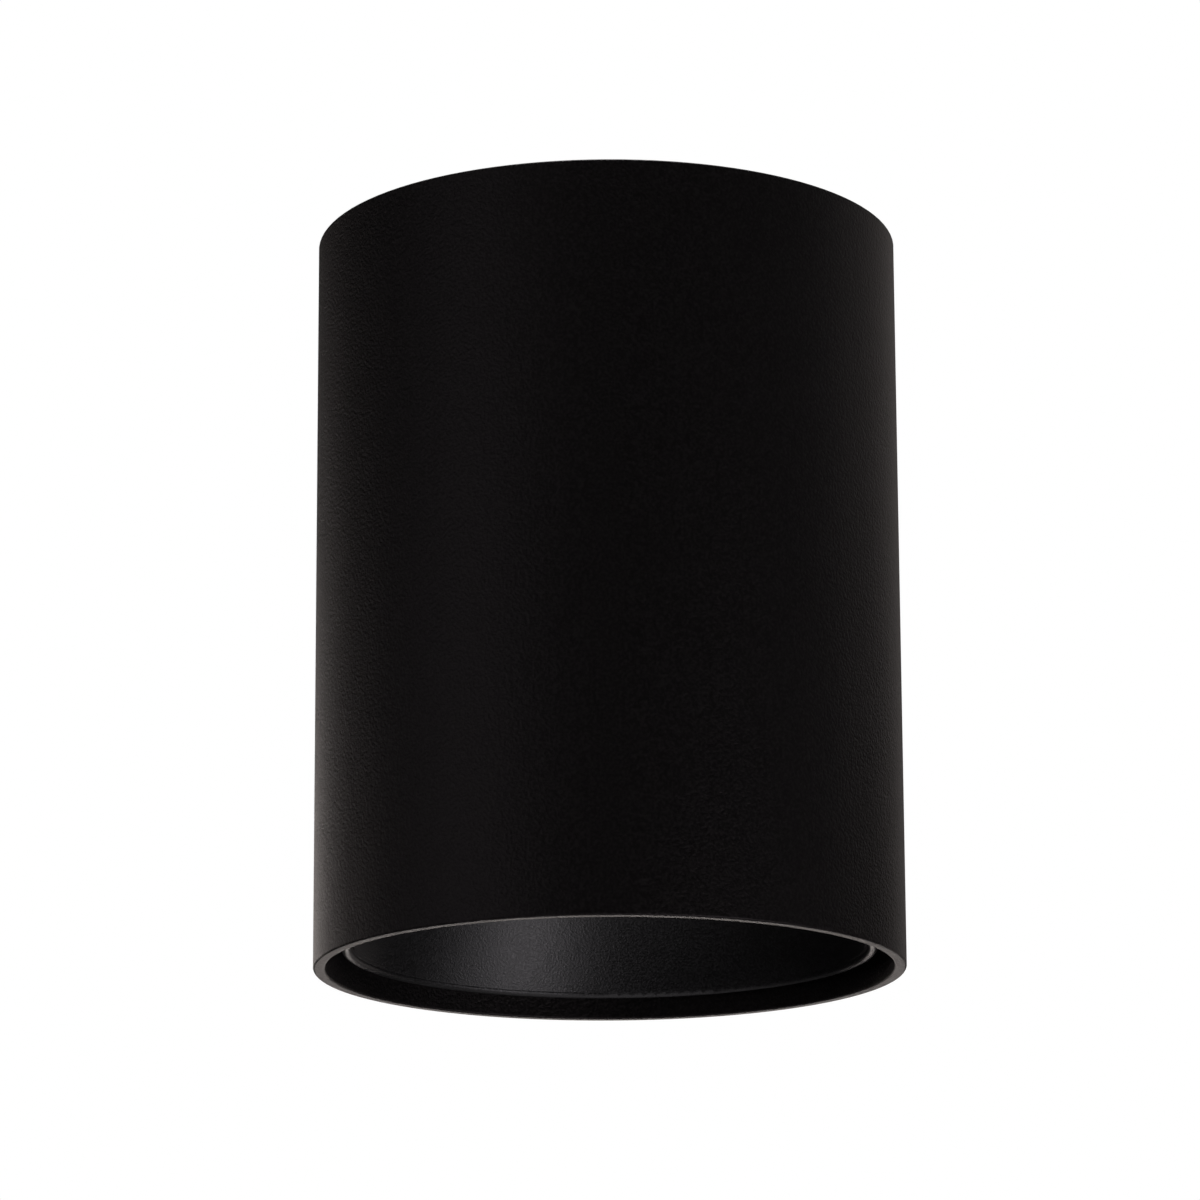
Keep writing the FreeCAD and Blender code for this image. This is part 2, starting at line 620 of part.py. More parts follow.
def round_edges(body, name, radius, level):
    """Round the circles of a turned body that lie at one level."""
    doc.recompute()
    height = number(level)
    edges = []
    base = body.Tip
    for index, edge in enumerate(base.Shape.Edges, start=1):
        extent = edge.BoundBox
        if extent.ZLength < SAME_PLACE and abs(extent.ZMax - height) < SAME_PLACE:
            edges.append(f"Edge{index}")
    fillet = body.newObject("PartDesign::Fillet", name)
    fillet.Base = (base, edges)
    bind(fillet, "Radius", radius)


def screw(name, x, y, z, length, head="up"):
    """A pan-head screw with a cross recess, its head on the face at level z."""
    wide = "screw_head_diameter / 2"
    narrow = "screw_head_diameter / 2 - screw_head_taper"
    if head == "up":
        crown = cone(name + "_head", wide, narrow, "screw_head_height", x, y, z)
        shank_bottom = f"({z}) - {length}"
        recess_bottom = f"({z}) + screw_head_height - recess_depth"
    else:
        crown = cone(name + "_head", narrow, wide, "screw_head_height", x, y, f"({z}) - screw_head_height")
        shank_bottom = z
        recess_bottom = f"({z}) - screw_head_height - cut_overrun"
    shank = cylinder(name + "_shank", "screw_diameter / 2", length, x, y, shank_bottom)
    depth = "recess_depth + cut_overrun"
    recesses = [
        box(name + "_cross_a", "recess_length", "recess_width", depth, x, y, recess_bottom),
        box(name + "_cross_b", "recess_width", "recess_length", depth, x, y, recess_bottom),
    ]
    return cut(name, union(name + "_blank", [crown, shank]), recesses)


def screw_hole(name, x, y, z, length):
    """A clear hole for a screw, from level z up, passing both faces."""
    radius = "screw_diameter / 2 + hole_gap"
    return cylinder(name, radius, f"({length}) + 2 * cut_overrun", x, y, f"({z}) - cut_overrun")


def ring_screws(name, radius, angle, count, z, length, head="up"):
    screws = []
    for index in range(count):
        x, y = ring_place(radius, direction_of(angle, index, count))
        screws.append(screw(f"{name}_{index + 1}", x, y, z, length, head))
    return group(name, screws)


def ring_holes(name, radius, angle, count, z, length):
    holes = []
    for index in range(count):
        x, y = ring_place(radius, direction_of(angle, index, count))
        holes.append(screw_hole(f"{name}_{index + 1}", x, y, z, length))
    return holes


def slot_tool(name, length, width, height, x, y, z):
    """A round-ended slot along x, as a solid to cut with."""
    straight = f"({length}) - ({width})"
    ends = []
    for sign in SIDES:
        place = f"({x}) {sign} ({straight}) / 2"
        ends.append(cylinder(name + "_end", f"({width}) / 2", height, place, y, z))
    middle = box(name + "_middle", straight, width, height, x, y, z)
    return union(name, ends + [middle])


def mounting_plate():
    blank = turned_body(
        "plate_blank",
        [
            ("cable_hole_radius", "-dish_depth"),
            ("dish_radius", "-dish_depth"),
            ("dish_radius + plate_thickness", "0"),
            ("plate_radius", "0"),
            ("plate_radius", "-plate_flange_depth"),
            ("plate_radius - plate_thickness", "-plate_flange_depth"),
            ("plate_radius - plate_thickness", "-plate_thickness"),
            ("dish_radius + plate_thickness + dish_lean", "-plate_thickness"),
            ("dish_radius + dish_lean", "-dish_depth - plate_thickness"),
            ("cable_hole_radius", "-dish_depth - plate_thickness"),
        ],
    )
    height = "plate_thickness + 2 * cut_overrun"
    bottom = "-plate_thickness - cut_overrun"
    holes = []
    for sign in SIDES:
        place = f"{sign}ceiling_slot_spacing / 2"
        holes.append(
            slot_tool("ceiling_slot", "ceiling_slot_length", "ceiling_slot_width", height,
                      place, "0", bottom)
        )
    for index in range(STUDS):
        x, y = ring_place("stud_circle", direction_of("stud_angle", index, STUDS))
        holes.append(cylinder("tenon_hole", "stud_tenon_diameter / 2 + hole_gap", height, x, y, bottom))
    for index in range(SPRINGS):
        x, y = rivet_place(index)
        holes.append(cylinder("rivet_hole", "rivet_diameter / 2 + hole_gap", height, x, y, bottom))
    node("mounting_plate", cut("mounting_plate_cut", blank, holes))


def shoulder_studs():
    studs = []
    for index in range(STUDS):
        x, y = ring_place("stud_circle", direction_of("stud_angle", index, STUDS))
        tenon = cylinder("stud_tenon", "stud_tenon_diameter / 2", "plate_thickness",
                         x, y, "-plate_thickness")
        neck_length = "-plate_thickness - stud_head_top"
        neck = cylinder("stud_neck", "stud_neck_diameter / 2", neck_length, x, y, "stud_head_top")
        half = "stud_head_thickness / 2"
        head_radius = "stud_head_diameter / 2"
        head = cylinder("stud_head", head_radius, half, x, y, f"stud_head_top - {half}")
        edge = cone("stud_edge", f"{head_radius} - {half}", head_radius, half,
                    x, y, "stud_head_top - stud_head_thickness")
        studs.append(union(f"stud_{index + 1}", [tenon, neck, head, edge]))
    node("shoulder_studs", group("stud_group", studs))


def rivet_place(index):
    """Where a leaf spring's rivet goes: on the strip, at the middle of its riveted end."""
    direction = direction_of("spring_angle", index, SPRINGS)
    x, y = ring_place("spring_circle", direction)
    along = "((spring_length - spring_pad_length) / 2)"
    return f"{x} + {along} * sin({direction})", f"{y} - {along} * cos({direction})"


def preload_springs():
    """Leaf springs that press on the ring: riveted at one end, their foot at the other."""
    springs = []
    rivets = []
    half = "spring_length / 2"
    for index in range(SPRINGS):
        direction = direction_of("spring_angle", index, SPRINGS)
        x, y = ring_place("spring_circle", direction)
        strip = padded_body(
            f"spring_strip_{index + 1}",
            "XZ_Plane",
            [
                (half, "-plate_thickness"),
                (f"{half} - spring_pad_length", "-plate_thickness"),
                (f"spring_foot_length - {half}", "spring_foot_bottom + spring_thickness"),
                (f"-{half}", "spring_foot_bottom + spring_thickness"),
                (f"-{half}", "spring_foot_bottom"),
                (f"spring_foot_length - {half}", "spring_foot_bottom"),
                (f"{half} - spring_pad_length", "-plate_thickness - spring_thickness"),
                (half, "-plate_thickness - spring_thickness"),
            ],
            "spring_width",
        )
        move(strip, x, y, turn=f"{direction} - {QUARTER_TURN}")
        rivet_x, rivet_y = rivet_place(index)
        under_strip = "-plate_thickness - spring_thickness"
        drill_height = "spring_thickness + 2 * cut_overrun"
        drill = cylinder(
            "spring_drill", "rivet_diameter / 2 + hole_gap", drill_height, rivet_x, rivet_y,
            f"{under_strip} - cut_overrun",
        )
        springs.append(cut(f"spring_{index + 1}", strip, [drill]))
        shank = cylinder(
            "rivet_shank", "rivet_diameter / 2", "plate_thickness + spring_thickness",
            rivet_x, rivet_y, under_strip,
        )
        head = cylinder(
            "rivet_head", "rivet_head_diameter / 2", "rivet_head_height",
            rivet_x, rivet_y, f"{under_strip} - rivet_head_height",
        )
        rivets.append(union(f"rivet_{index + 1}", [shank, head]))
    node("preload_springs", group("spring_group", springs))
    node("spring_rivets", group("rivet_group", rivets))


def cable_grommet():
    top = "grommet_flange_thickness - dish_depth"
    under_plate = "-dish_depth - plate_thickness"
    bottom = f"{under_plate} - grommet_flange_thickness"
    body = turned_body(
        "grommet_body",
        [
            ("grommet_bore_diameter / 2", top),
            ("grommet_flange_radius", top),
            ("grommet_flange_radius", "-dish_depth"),
            ("grommet_radius", "-dish_depth"),
            ("grommet_radius", under_plate),
            ("grommet_flange_radius", under_plate),
            ("grommet_flange_radius", bottom),
            ("grommet_bore_diameter / 2", bottom),
        ],
    )
    node("cable_grommet", body)


def housing_tube():
    """The tube with three screw ports, milled back at both ends."""
    body = turned_body(
        "tube_body",
        [
            ("bore_radius", "-ceiling_gap"),
            ("tube_outer_diameter / 2", "-ceiling_gap"),
            ("tube_outer_diameter / 2", "rim_level"),
            ("bore_radius", "rim_level"),
        ],
    )
    round_edges(body, "rim_rounding", "rim_edge_radius", "rim_level")
    round_edges(body, "top_rounding", "top_edge_radius", "-ceiling_gap")
    sketch = new_sketch(body, "port_outline", "XY_Plane", "ring_bottom")
    inside = "bore_radius - port_depth"
    outside = "bore_radius + tube_wall / 2"
    outline(
        sketch,
        [
            (inside, "-port_width / 2"),
            (outside, "-port_width / 2"),
            (outside, "port_width / 2"),
            (inside, "port_width / 2"),
        ],
    )
    middle = FreeCAD.Vector(number("port_circle"), 0, 0)
    hole_radius = "screw_diameter / 2 + hole_gap"
    hole = sketch.addGeometry(Part.Circle(middle, UP, number(hole_radius)), False)
    place = sketch.addConstraint(Sketcher.Constraint("Radius", hole, number(hole_radius)))
    bind(sketch, f"Constraints[{place}]", hole_radius)
    pin_point(sketch, hole, ARC_CENTRE, "port_circle", "0")
    pad = body.newObject("PartDesign::Pad", "port_pad")
    pad.Profile = sketch
    pad.Reversed = True
    bind(pad, "Length", "ring_bottom - sink_top")
    doc.recompute()
    pattern = body.newObject("PartDesign::PolarPattern", "port_pattern")
    pattern.Originals = [pad]
    pattern.Axis = (sketch, ["N_Axis"])
    pattern.Angle = FULL_TURN
    pattern.Occurrences = PORTS
    body.Tip = pattern
    move(body, turn="port_angle")
    node("housing_tube", body)


def bayonet_ring():
    """The ring that hangs on the studs. A keyhole's wide end lies one twist ahead of its stud."""
    height = "ring_thickness + 2 * cut_overrun"
    bottom = "ring_bottom - cut_overrun"
    blank = cylinder("ring_blank", "bore_radius - ring_gap", "ring_thickness", z="ring_bottom")
    tools = [cylinder("ring_middle", "ring_inner_radius", height, z=bottom)]
    wide_radius = "stud_head_diameter / 2 + keyhole_head_gap"
    for index in range(STUDS):
        direction = direction_of("stud_angle", index, STUDS)
        x, y = ring_place("stud_circle", direction)
        tools.append(cylinder("neck_end", "neck_slot_radius", height, x, y, bottom))
        x, y = ring_place("stud_circle", f"{direction} + twist_angle")
        tools.append(cylinder("head_hole", wide_radius, height, x, y, bottom))
        inner = "stud_circle - neck_slot_radius"
        outer = "stud_circle + neck_slot_radius"
        middle = f"{direction} + twist_angle / 2"
        tools.append(sector(f"neck_slot_{index + 1}", inner, outer, middle, "twist_angle", bottom, height))
    tools += ring_holes("ring_screw_hole", "port_circle", "port_angle", PORTS,
                        "ring_bottom", "ring_thickness")
    node("bayonet_ring", cut("ring_cut", blank, tools))
    screws = ring_screws("ring_screw", "port_circle", "port_angle", PORTS,
                         "ring_top", "ring_screw_length")
    node("ring_screws", screws)


def heat_sink():
    fins = []
    for index in range(FINS):
        place = f"{index - (FINS - 1) / 2} * fin_pitch"
        fins.append(box("fin", "fin_thickness", "2 * bore_radius", "fin_height", place, "0", "sink_top"))
    fin_limit = cylinder("fin_limit", "bore_radius - port_depth - fin_port_gap", "fin_height",
                         z="sink_top")
    round_fins = common("round_fins", union("fin_block", fins), fin_limit)
    base = cylinder("sink_base", "bore_radius - sink_gap", "sink_base_thickness", z="sink_bottom")
    holes = ring_holes("sink_hole", "port_circle", "port_angle", PORTS,
                       "sink_bottom", "sink_base_thickness")
    holes += ring_holes("stud_hole", "pillar_circle", "stud_angle", PILLARS,
                        "sink_bottom", "sink_base_thickness")
    lead_height = "sink_base_thickness + fin_height + 2 * cut_overrun"
    holes.append(
        box(
            "lead_hole", "lead_hole_length", "lead_hole_width", lead_height,
            "lead_hole_reach", "-lead_pair_setback", "sink_bottom - cut_overrun",
        )
    )
    thread = "holder_screw_length - (holder_thickness - counterbore_depth) + cut_overrun"
    for sign in SIDES:
        place = f"{sign}holder_screw_reach"
        holes.append(
            cylinder("lamp_hole", "screw_diameter / 2 + hole_gap", f"{thread} + cut_overrun",
                     "0", place, "sink_bottom - cut_overrun")
        )
    node("heat_sink", cut("sink_cut", union("sink_blank", [base, round_fins]), holes))
    screws = ring_screws(
        "sink_screw", "port_circle", "port_angle", PORTS, "sink_bottom", "sink_screw_length", "down"
    )
    node("sink_screws", screws)


def tray_pillars():
    """Hexagon pillars, screwed into the heat sink's base, that carry the tray over the fins."""
    pillars = []
    for index in range(PILLARS):
        direction = direction_of("stud_angle", index, PILLARS)
        x, y = ring_place("pillar_circle", direction)
        hexagon = doc.addObject("Part::Prism", "pillar_hexagon")
        hexagon.Polygon = PILLAR_SIDES
        bind(hexagon, "Circumradius", "pillar_across_corners / 2")
        bind(hexagon, "Height", "tray_bottom - sink_top")
        move(hexagon, x, y, "sink_top", direction)
        stud_length = "sink_base_thickness - pillar_stud_gap"
        stud = cylinder("pillar_stud", "screw_diameter / 2", stud_length,
                        x, y, f"sink_top - ({stud_length})")
        bore = cylinder(
            "pillar_bore", "screw_diameter / 2 + hole_gap", "pillar_bore_depth + cut_overrun",
            x, y, "tray_bottom - pillar_bore_depth",
        )
        pillars.append(cut(f"pillar_{index + 1}", union("pillar_blank", [hexagon, stud]), [bore]))
    node("tray_pillars", group("pillar_group", pillars))
    screws = ring_screws("tray_screw", "pillar_circle", "stud_angle", PILLARS,
                         "tray_top", "tray_screw_length")
    node("tray_screws", screws)


def small_screw_places():
    """The screws on the tray: name, x, y, the face they bear on, their length."""
    ear_face = "driver_bottom + ear_thickness"
    block_face = "tray_top + ear_thickness"
    return (
        ("driver_screw_1", "-ear_reach", "-ear_offset", ear_face, "base_screw_length"),
        ("driver_screw_2", "ear_reach", "-ear_offset", ear_face, "base_screw_length"),
        ("block_screw_1", "-block_ear_reach", "block_ear_middle", block_face, "base_screw_length"),
        ("block_screw_2", "block_ear_reach", "block_ear_middle", block_face, "base_screw_length"),
        ("clamp_screw", "clamp_screw_place", "clamp_front", "tray_top + clamp_wall",
         "clamp_screw_length"),
        ("earth_screw", "earth_reach", "earth_front", "tray_top + lug_thickness + washer_thickness",
         "earth_screw_length"),
    )


def gear_tray():
    blank = cylinder("tray_blank", "bore_radius - tray_gap", "tray_thickness", z="tray_bottom")
    height = "tray_thickness + 2 * cut_overrun"
    bottom = "tray_bottom - cut_overrun"
    tools = ring_holes("pillar_hole", "pillar_circle", "stud_angle", PILLARS,
                       "tray_bottom", "tray_thickness")
    for index in range(PORTS):
        direction = direction_of("port_angle", index, PORTS)
        x, y = ring_place("bore_radius - port_depth - notch_gap", direction)
        notch = doc.addObject("Part::Box", "port_notch")
        bind(notch, "Length", "port_depth + notch_gap")
        bind(notch, "Width", "port_width + 2 * notch_gap")
        bind(notch, "Height", height)
        side = "(port_width / 2 + notch_gap)"
        move(notch, f"{x} + {side} * sin({direction})", f"{y} - {side} * cos({direction})",
             bottom, direction)
        tools.append(notch)
    tools.append(
        box("tray_lead_hole", "lead_hole_length", "lead_hole_width", height,
            "lead_hole_reach", "-lead_pair_setback", bottom)
    )
    for name, x, y, face, length in small_screw_places():
        tools.append(screw_hole(name + "_hole", x, y, "tray_bottom", "tray_thickness"))
    node("gear_tray", cut("tray_cut", blank, tools))


def tray_fasteners():
    screws = {}
    for name, x, y, face, length in small_screw_places():
        screws[name] = screw(name + "_solid", x, y, face, length)
    for kind in ("driver_screw", "block_screw"):
        node(kind + "s", group(kind + "_group", [screws[kind + "_1"], screws[kind + "_2"]]))
    node("clamp_screw", screws["clamp_screw"])
    node("earth_screw", screws["earth_screw"])


def insulating_sheet():
    length = "driver_length + 2 * (ear_length + sheet_margin)"
    blank = box("sheet_blank", length, "ear_width + 2 * sheet_margin", "sheet_thickness",
                "0", "-ear_offset", "tray_top")
    main = box("sheet_main", "driver_length + 2 * sheet_margin", "driver_width", "sheet_thickness",
               "0", "driver_middle", "tray_top")
    holes = []
    for sign in SIDES:
        holes.append(
            screw_hole("sheet_hole", f"{sign}ear_reach", "-ear_offset", "tray_top", "sheet_thickness")
        )
    node("insulating_sheet", cut("sheet_cut", union("sheet_whole", [blank, main]), holes))


def driver_base():
    """The lower half of the driver's case, with its ears, its lead holes and the selector's window."""
    base_blank = box("base_blank", "driver_length", "driver_width", "driver_base_height",
                     "0", "driver_middle", "driver_bottom")
    ears = []
    for sign in SIDES:
        ears.append(
            box("driver_ear", "ear_length + driver_wall", "ear_width", "ear_thickness",
                f"{sign}(driver_reach + (ear_length - driver_wall) / 2)", "-ear_offset", "driver_bottom")
        )
    upper = "driver_split - board_bottom + cut_overrun"
    lower = "board_level - driver_wall + cut_overrun"
    tools = [
        box("board_room", "inner_length", "inner_width", upper, "0", "driver_middle", "board_bottom"),
        box("under_board", "inner_length - 2 * board_ledge", "inner_width - 2 * board_ledge", lower,
            "0", "driver_middle", "driver_bottom + driver_wall"),
    ]
    for sign in SIDES:
        tools.append(
            screw_hole("ear_hole", f"{sign}ear_reach", "-ear_offset", "driver_bottom", "ear_thickness")
        )
    hole_radius = "lead_diameter / 2 + lead_hole_gap"
    hole_length = "driver_wall + 2 * cut_overrun"
    for step in POLE_STEPS[:2]:
        tools.append(
            cylinder("front_lead_hole", hole_radius, hole_length, f"{step} * pole_pitch",
                     "driver_front - driver_wall - cut_overrun", "driver_lead_height", "back")
        )
    for sign in SIDES:
        tools.append(
            cylinder("end_lead_hole", hole_radius, hole_length, "driver_reach - driver_wall - cut_overrun",
                     f"-lead_pair_setback {sign} lead_pair_spacing / 2", "driver_lead_height", "right")
        )
    tools.append(
        box("selector_window", "driver_wall + 2 * cut_overrun",
            "slider_width + 2 * (slider_travel + slider_gap)", "slider_height + 2 * slider_gap",
            "driver_reach - driver_wall / 2", "selector_place", "slider_bottom - slider_gap")
    )
    node("driver_base", cut("driver_base_cut", union("driver_base_whole", [base_blank] + ears), tools))


def driver_cover():
    """The upper half of the driver's case, with its vent slots."""
    cover_blank = box("cover_blank", "driver_length", "driver_width", "driver_top - driver_split",
                      "0", "driver_middle", "driver_split")
    room = box("cover_room", "inner_length", "inner_width",
               "driver_top - driver_wall - driver_split + cut_overrun",
               "0", "driver_middle", "driver_split - cut_overrun")
    vents = []
    for index in range(VENTS):
        place = f"{index - (VENTS - 1) / 2} * vent_pitch"
        vents.append(
            box("vent", "vent_width", "vent_length", "driver_wall + 2 * cut_overrun",
                place, "driver_middle", "driver_top - driver_wall - cut_overrun")
        )
    node("driver_cover", cut("driver_cover_cut", cover_blank, [room] + vents))


def on_board(shares):
    """The x and y expressions of a place on the driver's board, from its two shares."""
    return f"{shares[0]} * inner_length", f"driver_middle + {shares[1]} * inner_width"


def can(name, shares, diameter, height):
    """An aluminium can capacitor with a rounded shoulder."""
    body = turned_body(
        name + "_body",
        [
            ("0", "0"),
            (f"{diameter} / 2", "0"),
            (f"{diameter} / 2", f"{height} - can_edge_radius", "can_edge_radius", -1),
            (f"{diameter} / 2 - can_edge_radius", height),
            ("0", height),
        ],
    )
    x, y = on_board(shares)
    node(name, move(body, x, y, "board_top"))


def driver_board():
    board = box("board_solid", "inner_length - 2 * board_gap", "inner_width - 2 * board_gap",
                "board_thickness", "0", "driver_middle", "board_bottom")
    node("driver_board", board)


def transformer():
    """A core with two windows, and a winding round its middle leg."""
    x, y = on_board(TRANSFORMER_SHARES)
    core = box("core_blank", "core_length", "core_depth", "core_height", x, y, "board_top")
    window_width = "(core_length - core_middle_leg) / 2 - core_leg"
    window_height = "core_height - 2 * core_leg"
    windows = []
    for sign in SIDES:
        place = f"{x} {sign} (core_middle_leg / 2 + ({window_width}) / 2)"
        windows.append(
            box("core_window", window_width, "core_depth + 2 * cut_overrun", window_height,
                place, y, "board_top + core_leg")
        )
    node("transformer_core", cut("core_cut", core, windows))
    winding_height = f"{window_height} - 2 * winding_gap"
    level = "board_top + core_leg + winding_gap"
    winding = box("winding_blank", "core_length - 2 * core_leg - 2 * winding_gap",
                  "core_depth + 2 * winding_overhang", winding_height, x, y, level)
    hole = box("winding_hole", "core_middle_leg + 2 * winding_gap", "core_depth + 2 * winding_gap",
               f"{winding_height} + 2 * cut_overrun", x, y, f"{level} - cut_overrun")
    node("transformer_winding", cut("winding_cut", winding, [hole]))


def capacitors():
    can("reservoir_capacitor", RESERVOIR_SHARES, "reservoir_diameter", "reservoir_height")
    can("output_capacitor", OUTPUT_SHARES, "output_diameter", "output_height")
    x, y = on_board(FILM_SHARES)
    film = box("film_solid", "film_length", "film_depth", "film_height", x, y, "board_top")
    node("film_capacitor", film)


def filter_choke():
    """A choke wound on a bobbin with two flanges."""
    x, y = on_board(CHOKE_SHARES)
    edge = "choke_diameter / 2"
    waist = "choke_diameter / 2 - choke_waist"
    choke = turned_body(
        "choke_body",
        [
            ("0", "0"),
            (edge, "0"),
            (edge, "choke_flange"),
            (waist, "choke_flange"),
            (waist, "choke_height - choke_flange"),
            (edge, "choke_height - choke_flange"),
            (edge, "choke_height"),
            ("0", "choke_height"),
        ],
    )
    node("filter_choke", move(choke, x, y, "board_top"))


def driver_chips():
    chips = []
    for index, shares in enumerate(CHIP_SHARES):
        x, y = on_board(shares)
        chips.append(
            box(f"chip_{index + 1}", "chip_length", "chip_width", "chip_height", x, y, "board_top")
        )
    node("driver_chips", group("chip_group", chips))


def selector():
    """The light colour selector: a slide switch with three places at the driver's end."""
    body = box("selector_blank", "selector_depth", "selector_length", "selector_height",
               "selector_end - selector_depth / 2", "selector_place", "board_top")
    room = box("selector_room", "slider_depth + slider_gap + cut_overrun",
               "slider_width + 2 * (slider_travel + slider_gap)", "slider_height + 2 * slider_gap",
               "selector_end + (cut_overrun - slider_depth - slider_gap) / 2", "selector_place",
               "slider_bottom - slider_gap")
    node("selector_body", cut("selector_cut", body, [room]))
    length = "slider_depth + selector_end_gap + driver_wall + slider_stand_out"
    slider = box("slider_bar", length, "slider_width", "slider_height",
                 f"driver_reach + slider_stand_out - ({length}) / 2", "selector_place", "slider_bottom")
    node("selector_slider", slider)


def terminal_block():
    blank = box("block_blank", "block_length", "block_depth", "block_height",
                "0", "block_front + block_depth / 2", "tray_top")
    ears = box("block_ears", "block_length + 2 * ear_length", "ear_width", "ear_thickness",
               "0", "block_ear_middle", "tray_top")
    tools = [
        cylinder("pin_hole", "pin_diameter / 2 + hole_gap", "block_length + 2 * cut_overrun",
                 "-block_length / 2 - cut_overrun", "pivot_place", "pivot_level", "right")
    ]
    for sign in SIDES:
        tools.append(
            screw_hole("block_ear_hole", f"{sign}block_ear_reach", "block_ear_middle",
                       "tray_top", "ear_thickness")
        )
    for step in POLE_STEPS:
        x = f"{step} * pole_pitch"
        tools.append(
            box("hub_slot", "pole_slot_width", "lever_slot_length + cut_overrun",
                "lever_slot_depth + cut_overrun",
                x, "block_back - (lever_slot_length - cut_overrun) / 2", "block_top - lever_slot_depth")
        )
        tools.append(
            box("clamp_cavity", "cavity_width", "cavity_back - cavity_front",
                "block_top - cavity_floor + cut_overrun",
                x, "(cavity_back + cavity_front) / 2", "cavity_floor")
        )
        tools.append(
            cylinder("supply_entry", "entry_diameter / 2", "lever_slot_length + 2 * cut_overrun", x,
                     "cavity_back - cut_overrun", "entry_height", "back")
        )
        tools.append(
            cylinder("lead_entry", "lead_diameter / 2 + lead_hole_gap",
                     "cavity_front_wall + 2 * cut_overrun", x,
                     "block_front - cut_overrun", "entry_height", "back")
        )
    node("terminal_block", cut("block_cut", union("block_whole", [blank, ears]), tools))


def terminal_inside():
    pin_length = "block_length - 2 * pin_end_gap"
    pin = cylinder("pin_solid", "pin_diameter / 2", pin_length, f"-({pin_length}) / 2",
                   "pivot_place", "pivot_level", "right")
    node("lever_pin", pin)
    bars = []
    springs = []
    for index, step in enumerate(POLE_STEPS):
        x = f"{step} * pole_pitch"
        bars.append(
            box(f"bar_{index + 1}", "cavity_width - 2 * bar_gap",
                "cavity_back - cavity_front - 2 * bar_gap",
                "bar_thickness", x, "(cavity_back + cavity_front) / 2", "cavity_floor")
        )
        low = "cavity_front + clamp_foot"
        high = "cavity_back - bar_gap"
        strip = padded_body(
            f"clamp_strip_{index + 1}",
            "YZ_Plane",
            [
                (low, "bar_top"),
                (f"{low} + clamp_strip", "bar_top"),
                (high, "bar_top + clamp_height - clamp_strip"),
                (high, "bar_top + clamp_height"),
                (f"{low} + clamp_strip", "bar_top + clamp_height"),
                (f"{low} + clamp_strip", "bar_top + clamp_height - clamp_strip"),
                (f"{high} - clamp_strip", "bar_top + clamp_height - clamp_strip"),
            ],
            "cavity_width - 2 * bar_gap",
        )
        springs.append(move(strip, x))
    node("contact_bars", group("bar_group", bars))
    node("clamp_springs", group("clamp_group", springs))


def levers():
    """One lever to each pole. Closed, its arm lies on the block's top."""
    names = ("line_lever", "neutral_lever", "earth_lever")
    for name, step in zip(names, POLE_STEPS):
        x = f"{step} * pole_pitch"
        side = f"{x} - lever_width / 2"
        arm_level = "block_top + lever_rest_gap"
        hub_radius = "lever_hub_diameter / 2"
        hub = cylinder(name + "_hub", hub_radius, "lever_width",
                       side, "pivot_place", "pivot_level", "right")
        arm = box(name + "_arm", "lever_width", "lever_reach", "lever_thickness",
                  x, "pivot_place - lever_reach / 2", arm_level)
        web = box(name + "_web", "lever_width", hub_radius,
                  f"{arm_level} - pivot_level + lever_thickness / 2",
                  x, f"pivot_place - {hub_radius} / 2", "pivot_level")
        tip = box(name + "_tip", "lever_width", "lever_tip_length", "lever_thickness + lever_tip_height",
                  x, "pivot_place - lever_reach + lever_tip_length / 2", arm_level)
        bore = cylinder(name + "_bore", "pin_diameter / 2 + hole_gap", "lever_width + 2 * cut_overrun",
                        f"{side} - cut_overrun", "pivot_place", "pivot_level", "right")
        node(name, cut(name + "_cut", union(name + "_blank", [hub, arm, web, tip]), [bore]))


def cable_clamp():
    """A P-shaped clip: a loop for the supply cable and a tab with one screw."""
    back = "clamp_front - clamp_width / 2"
    loop = cylinder("clamp_loop", "clamp_radius", "clamp_width", "clamp_place", back,
                    "tray_top + clamp_radius", "back")
    tab_length = "clamp_radius + screw_head_diameter"
    tab = box("clamp_tab", tab_length, "clamp_width", "clamp_wall",
              f"clamp_place - ({tab_length}) / 2", "clamp_front", "tray_top")
    bore = cylinder("clamp_bore", "clamp_bore_diameter / 2", "clamp_width + 2 * cut_overrun", "clamp_place",
                    f"{back} - cut_overrun", "tray_top + clamp_radius", "back")
    hole = screw_hole("clamp_hole", "clamp_screw_place", "clamp_front", "tray_top", "clamp_wall")
    node("cable_clamp", cut("clamp_cut", union("clamp_blank", [loop, tab]), [bore, hole]))


def earth_bond():
    """The earth lug on the tray, a ring with a crimped barrel, and the washer on it."""
    ring = cylinder("lug_ring", "lug_diameter / 2", "lug_thickness",
                    "earth_reach", "earth_front", "tray_top")
    barrel = cylinder("lug_barrel", "lug_barrel_diameter / 2", "lug_barrel_length",
                      "lug_start", "earth_front", "barrel_level", "right")
    tongue = box("lug_tongue", "earth_reach - lug_start", "lug_barrel_diameter", "lug_thickness",
                 "(earth_reach + lug_start) / 2", "earth_front", "tray_top")
    hole = screw_hole("lug_hole", "earth_reach", "earth_front", "tray_top", "lug_barrel_diameter")
    bore = cylinder("lug_bore", "lead_diameter / 2 + hole_gap", "lug_barrel_length + cut_overrun",
                    "lug_start - cut_overrun", "earth_front", "barrel_level", "right")
    node("earth_lug", cut("lug_cut", union("lug_blank", [ring, tongue, barrel]), [hole, bore]))
    washer = cylinder("washer_blank", "washer_diameter / 2", "washer_thickness",
                      "earth_reach", "earth_front", "tray_top + lug_thickness")
    washer_hole = screw_hole("washer_hole", "earth_reach", "earth_front", "tray_top + lug_thickness",
                             "washer_thickness")
    node("earth_washer", cut("washer_cut", washer, [washer_hole]))


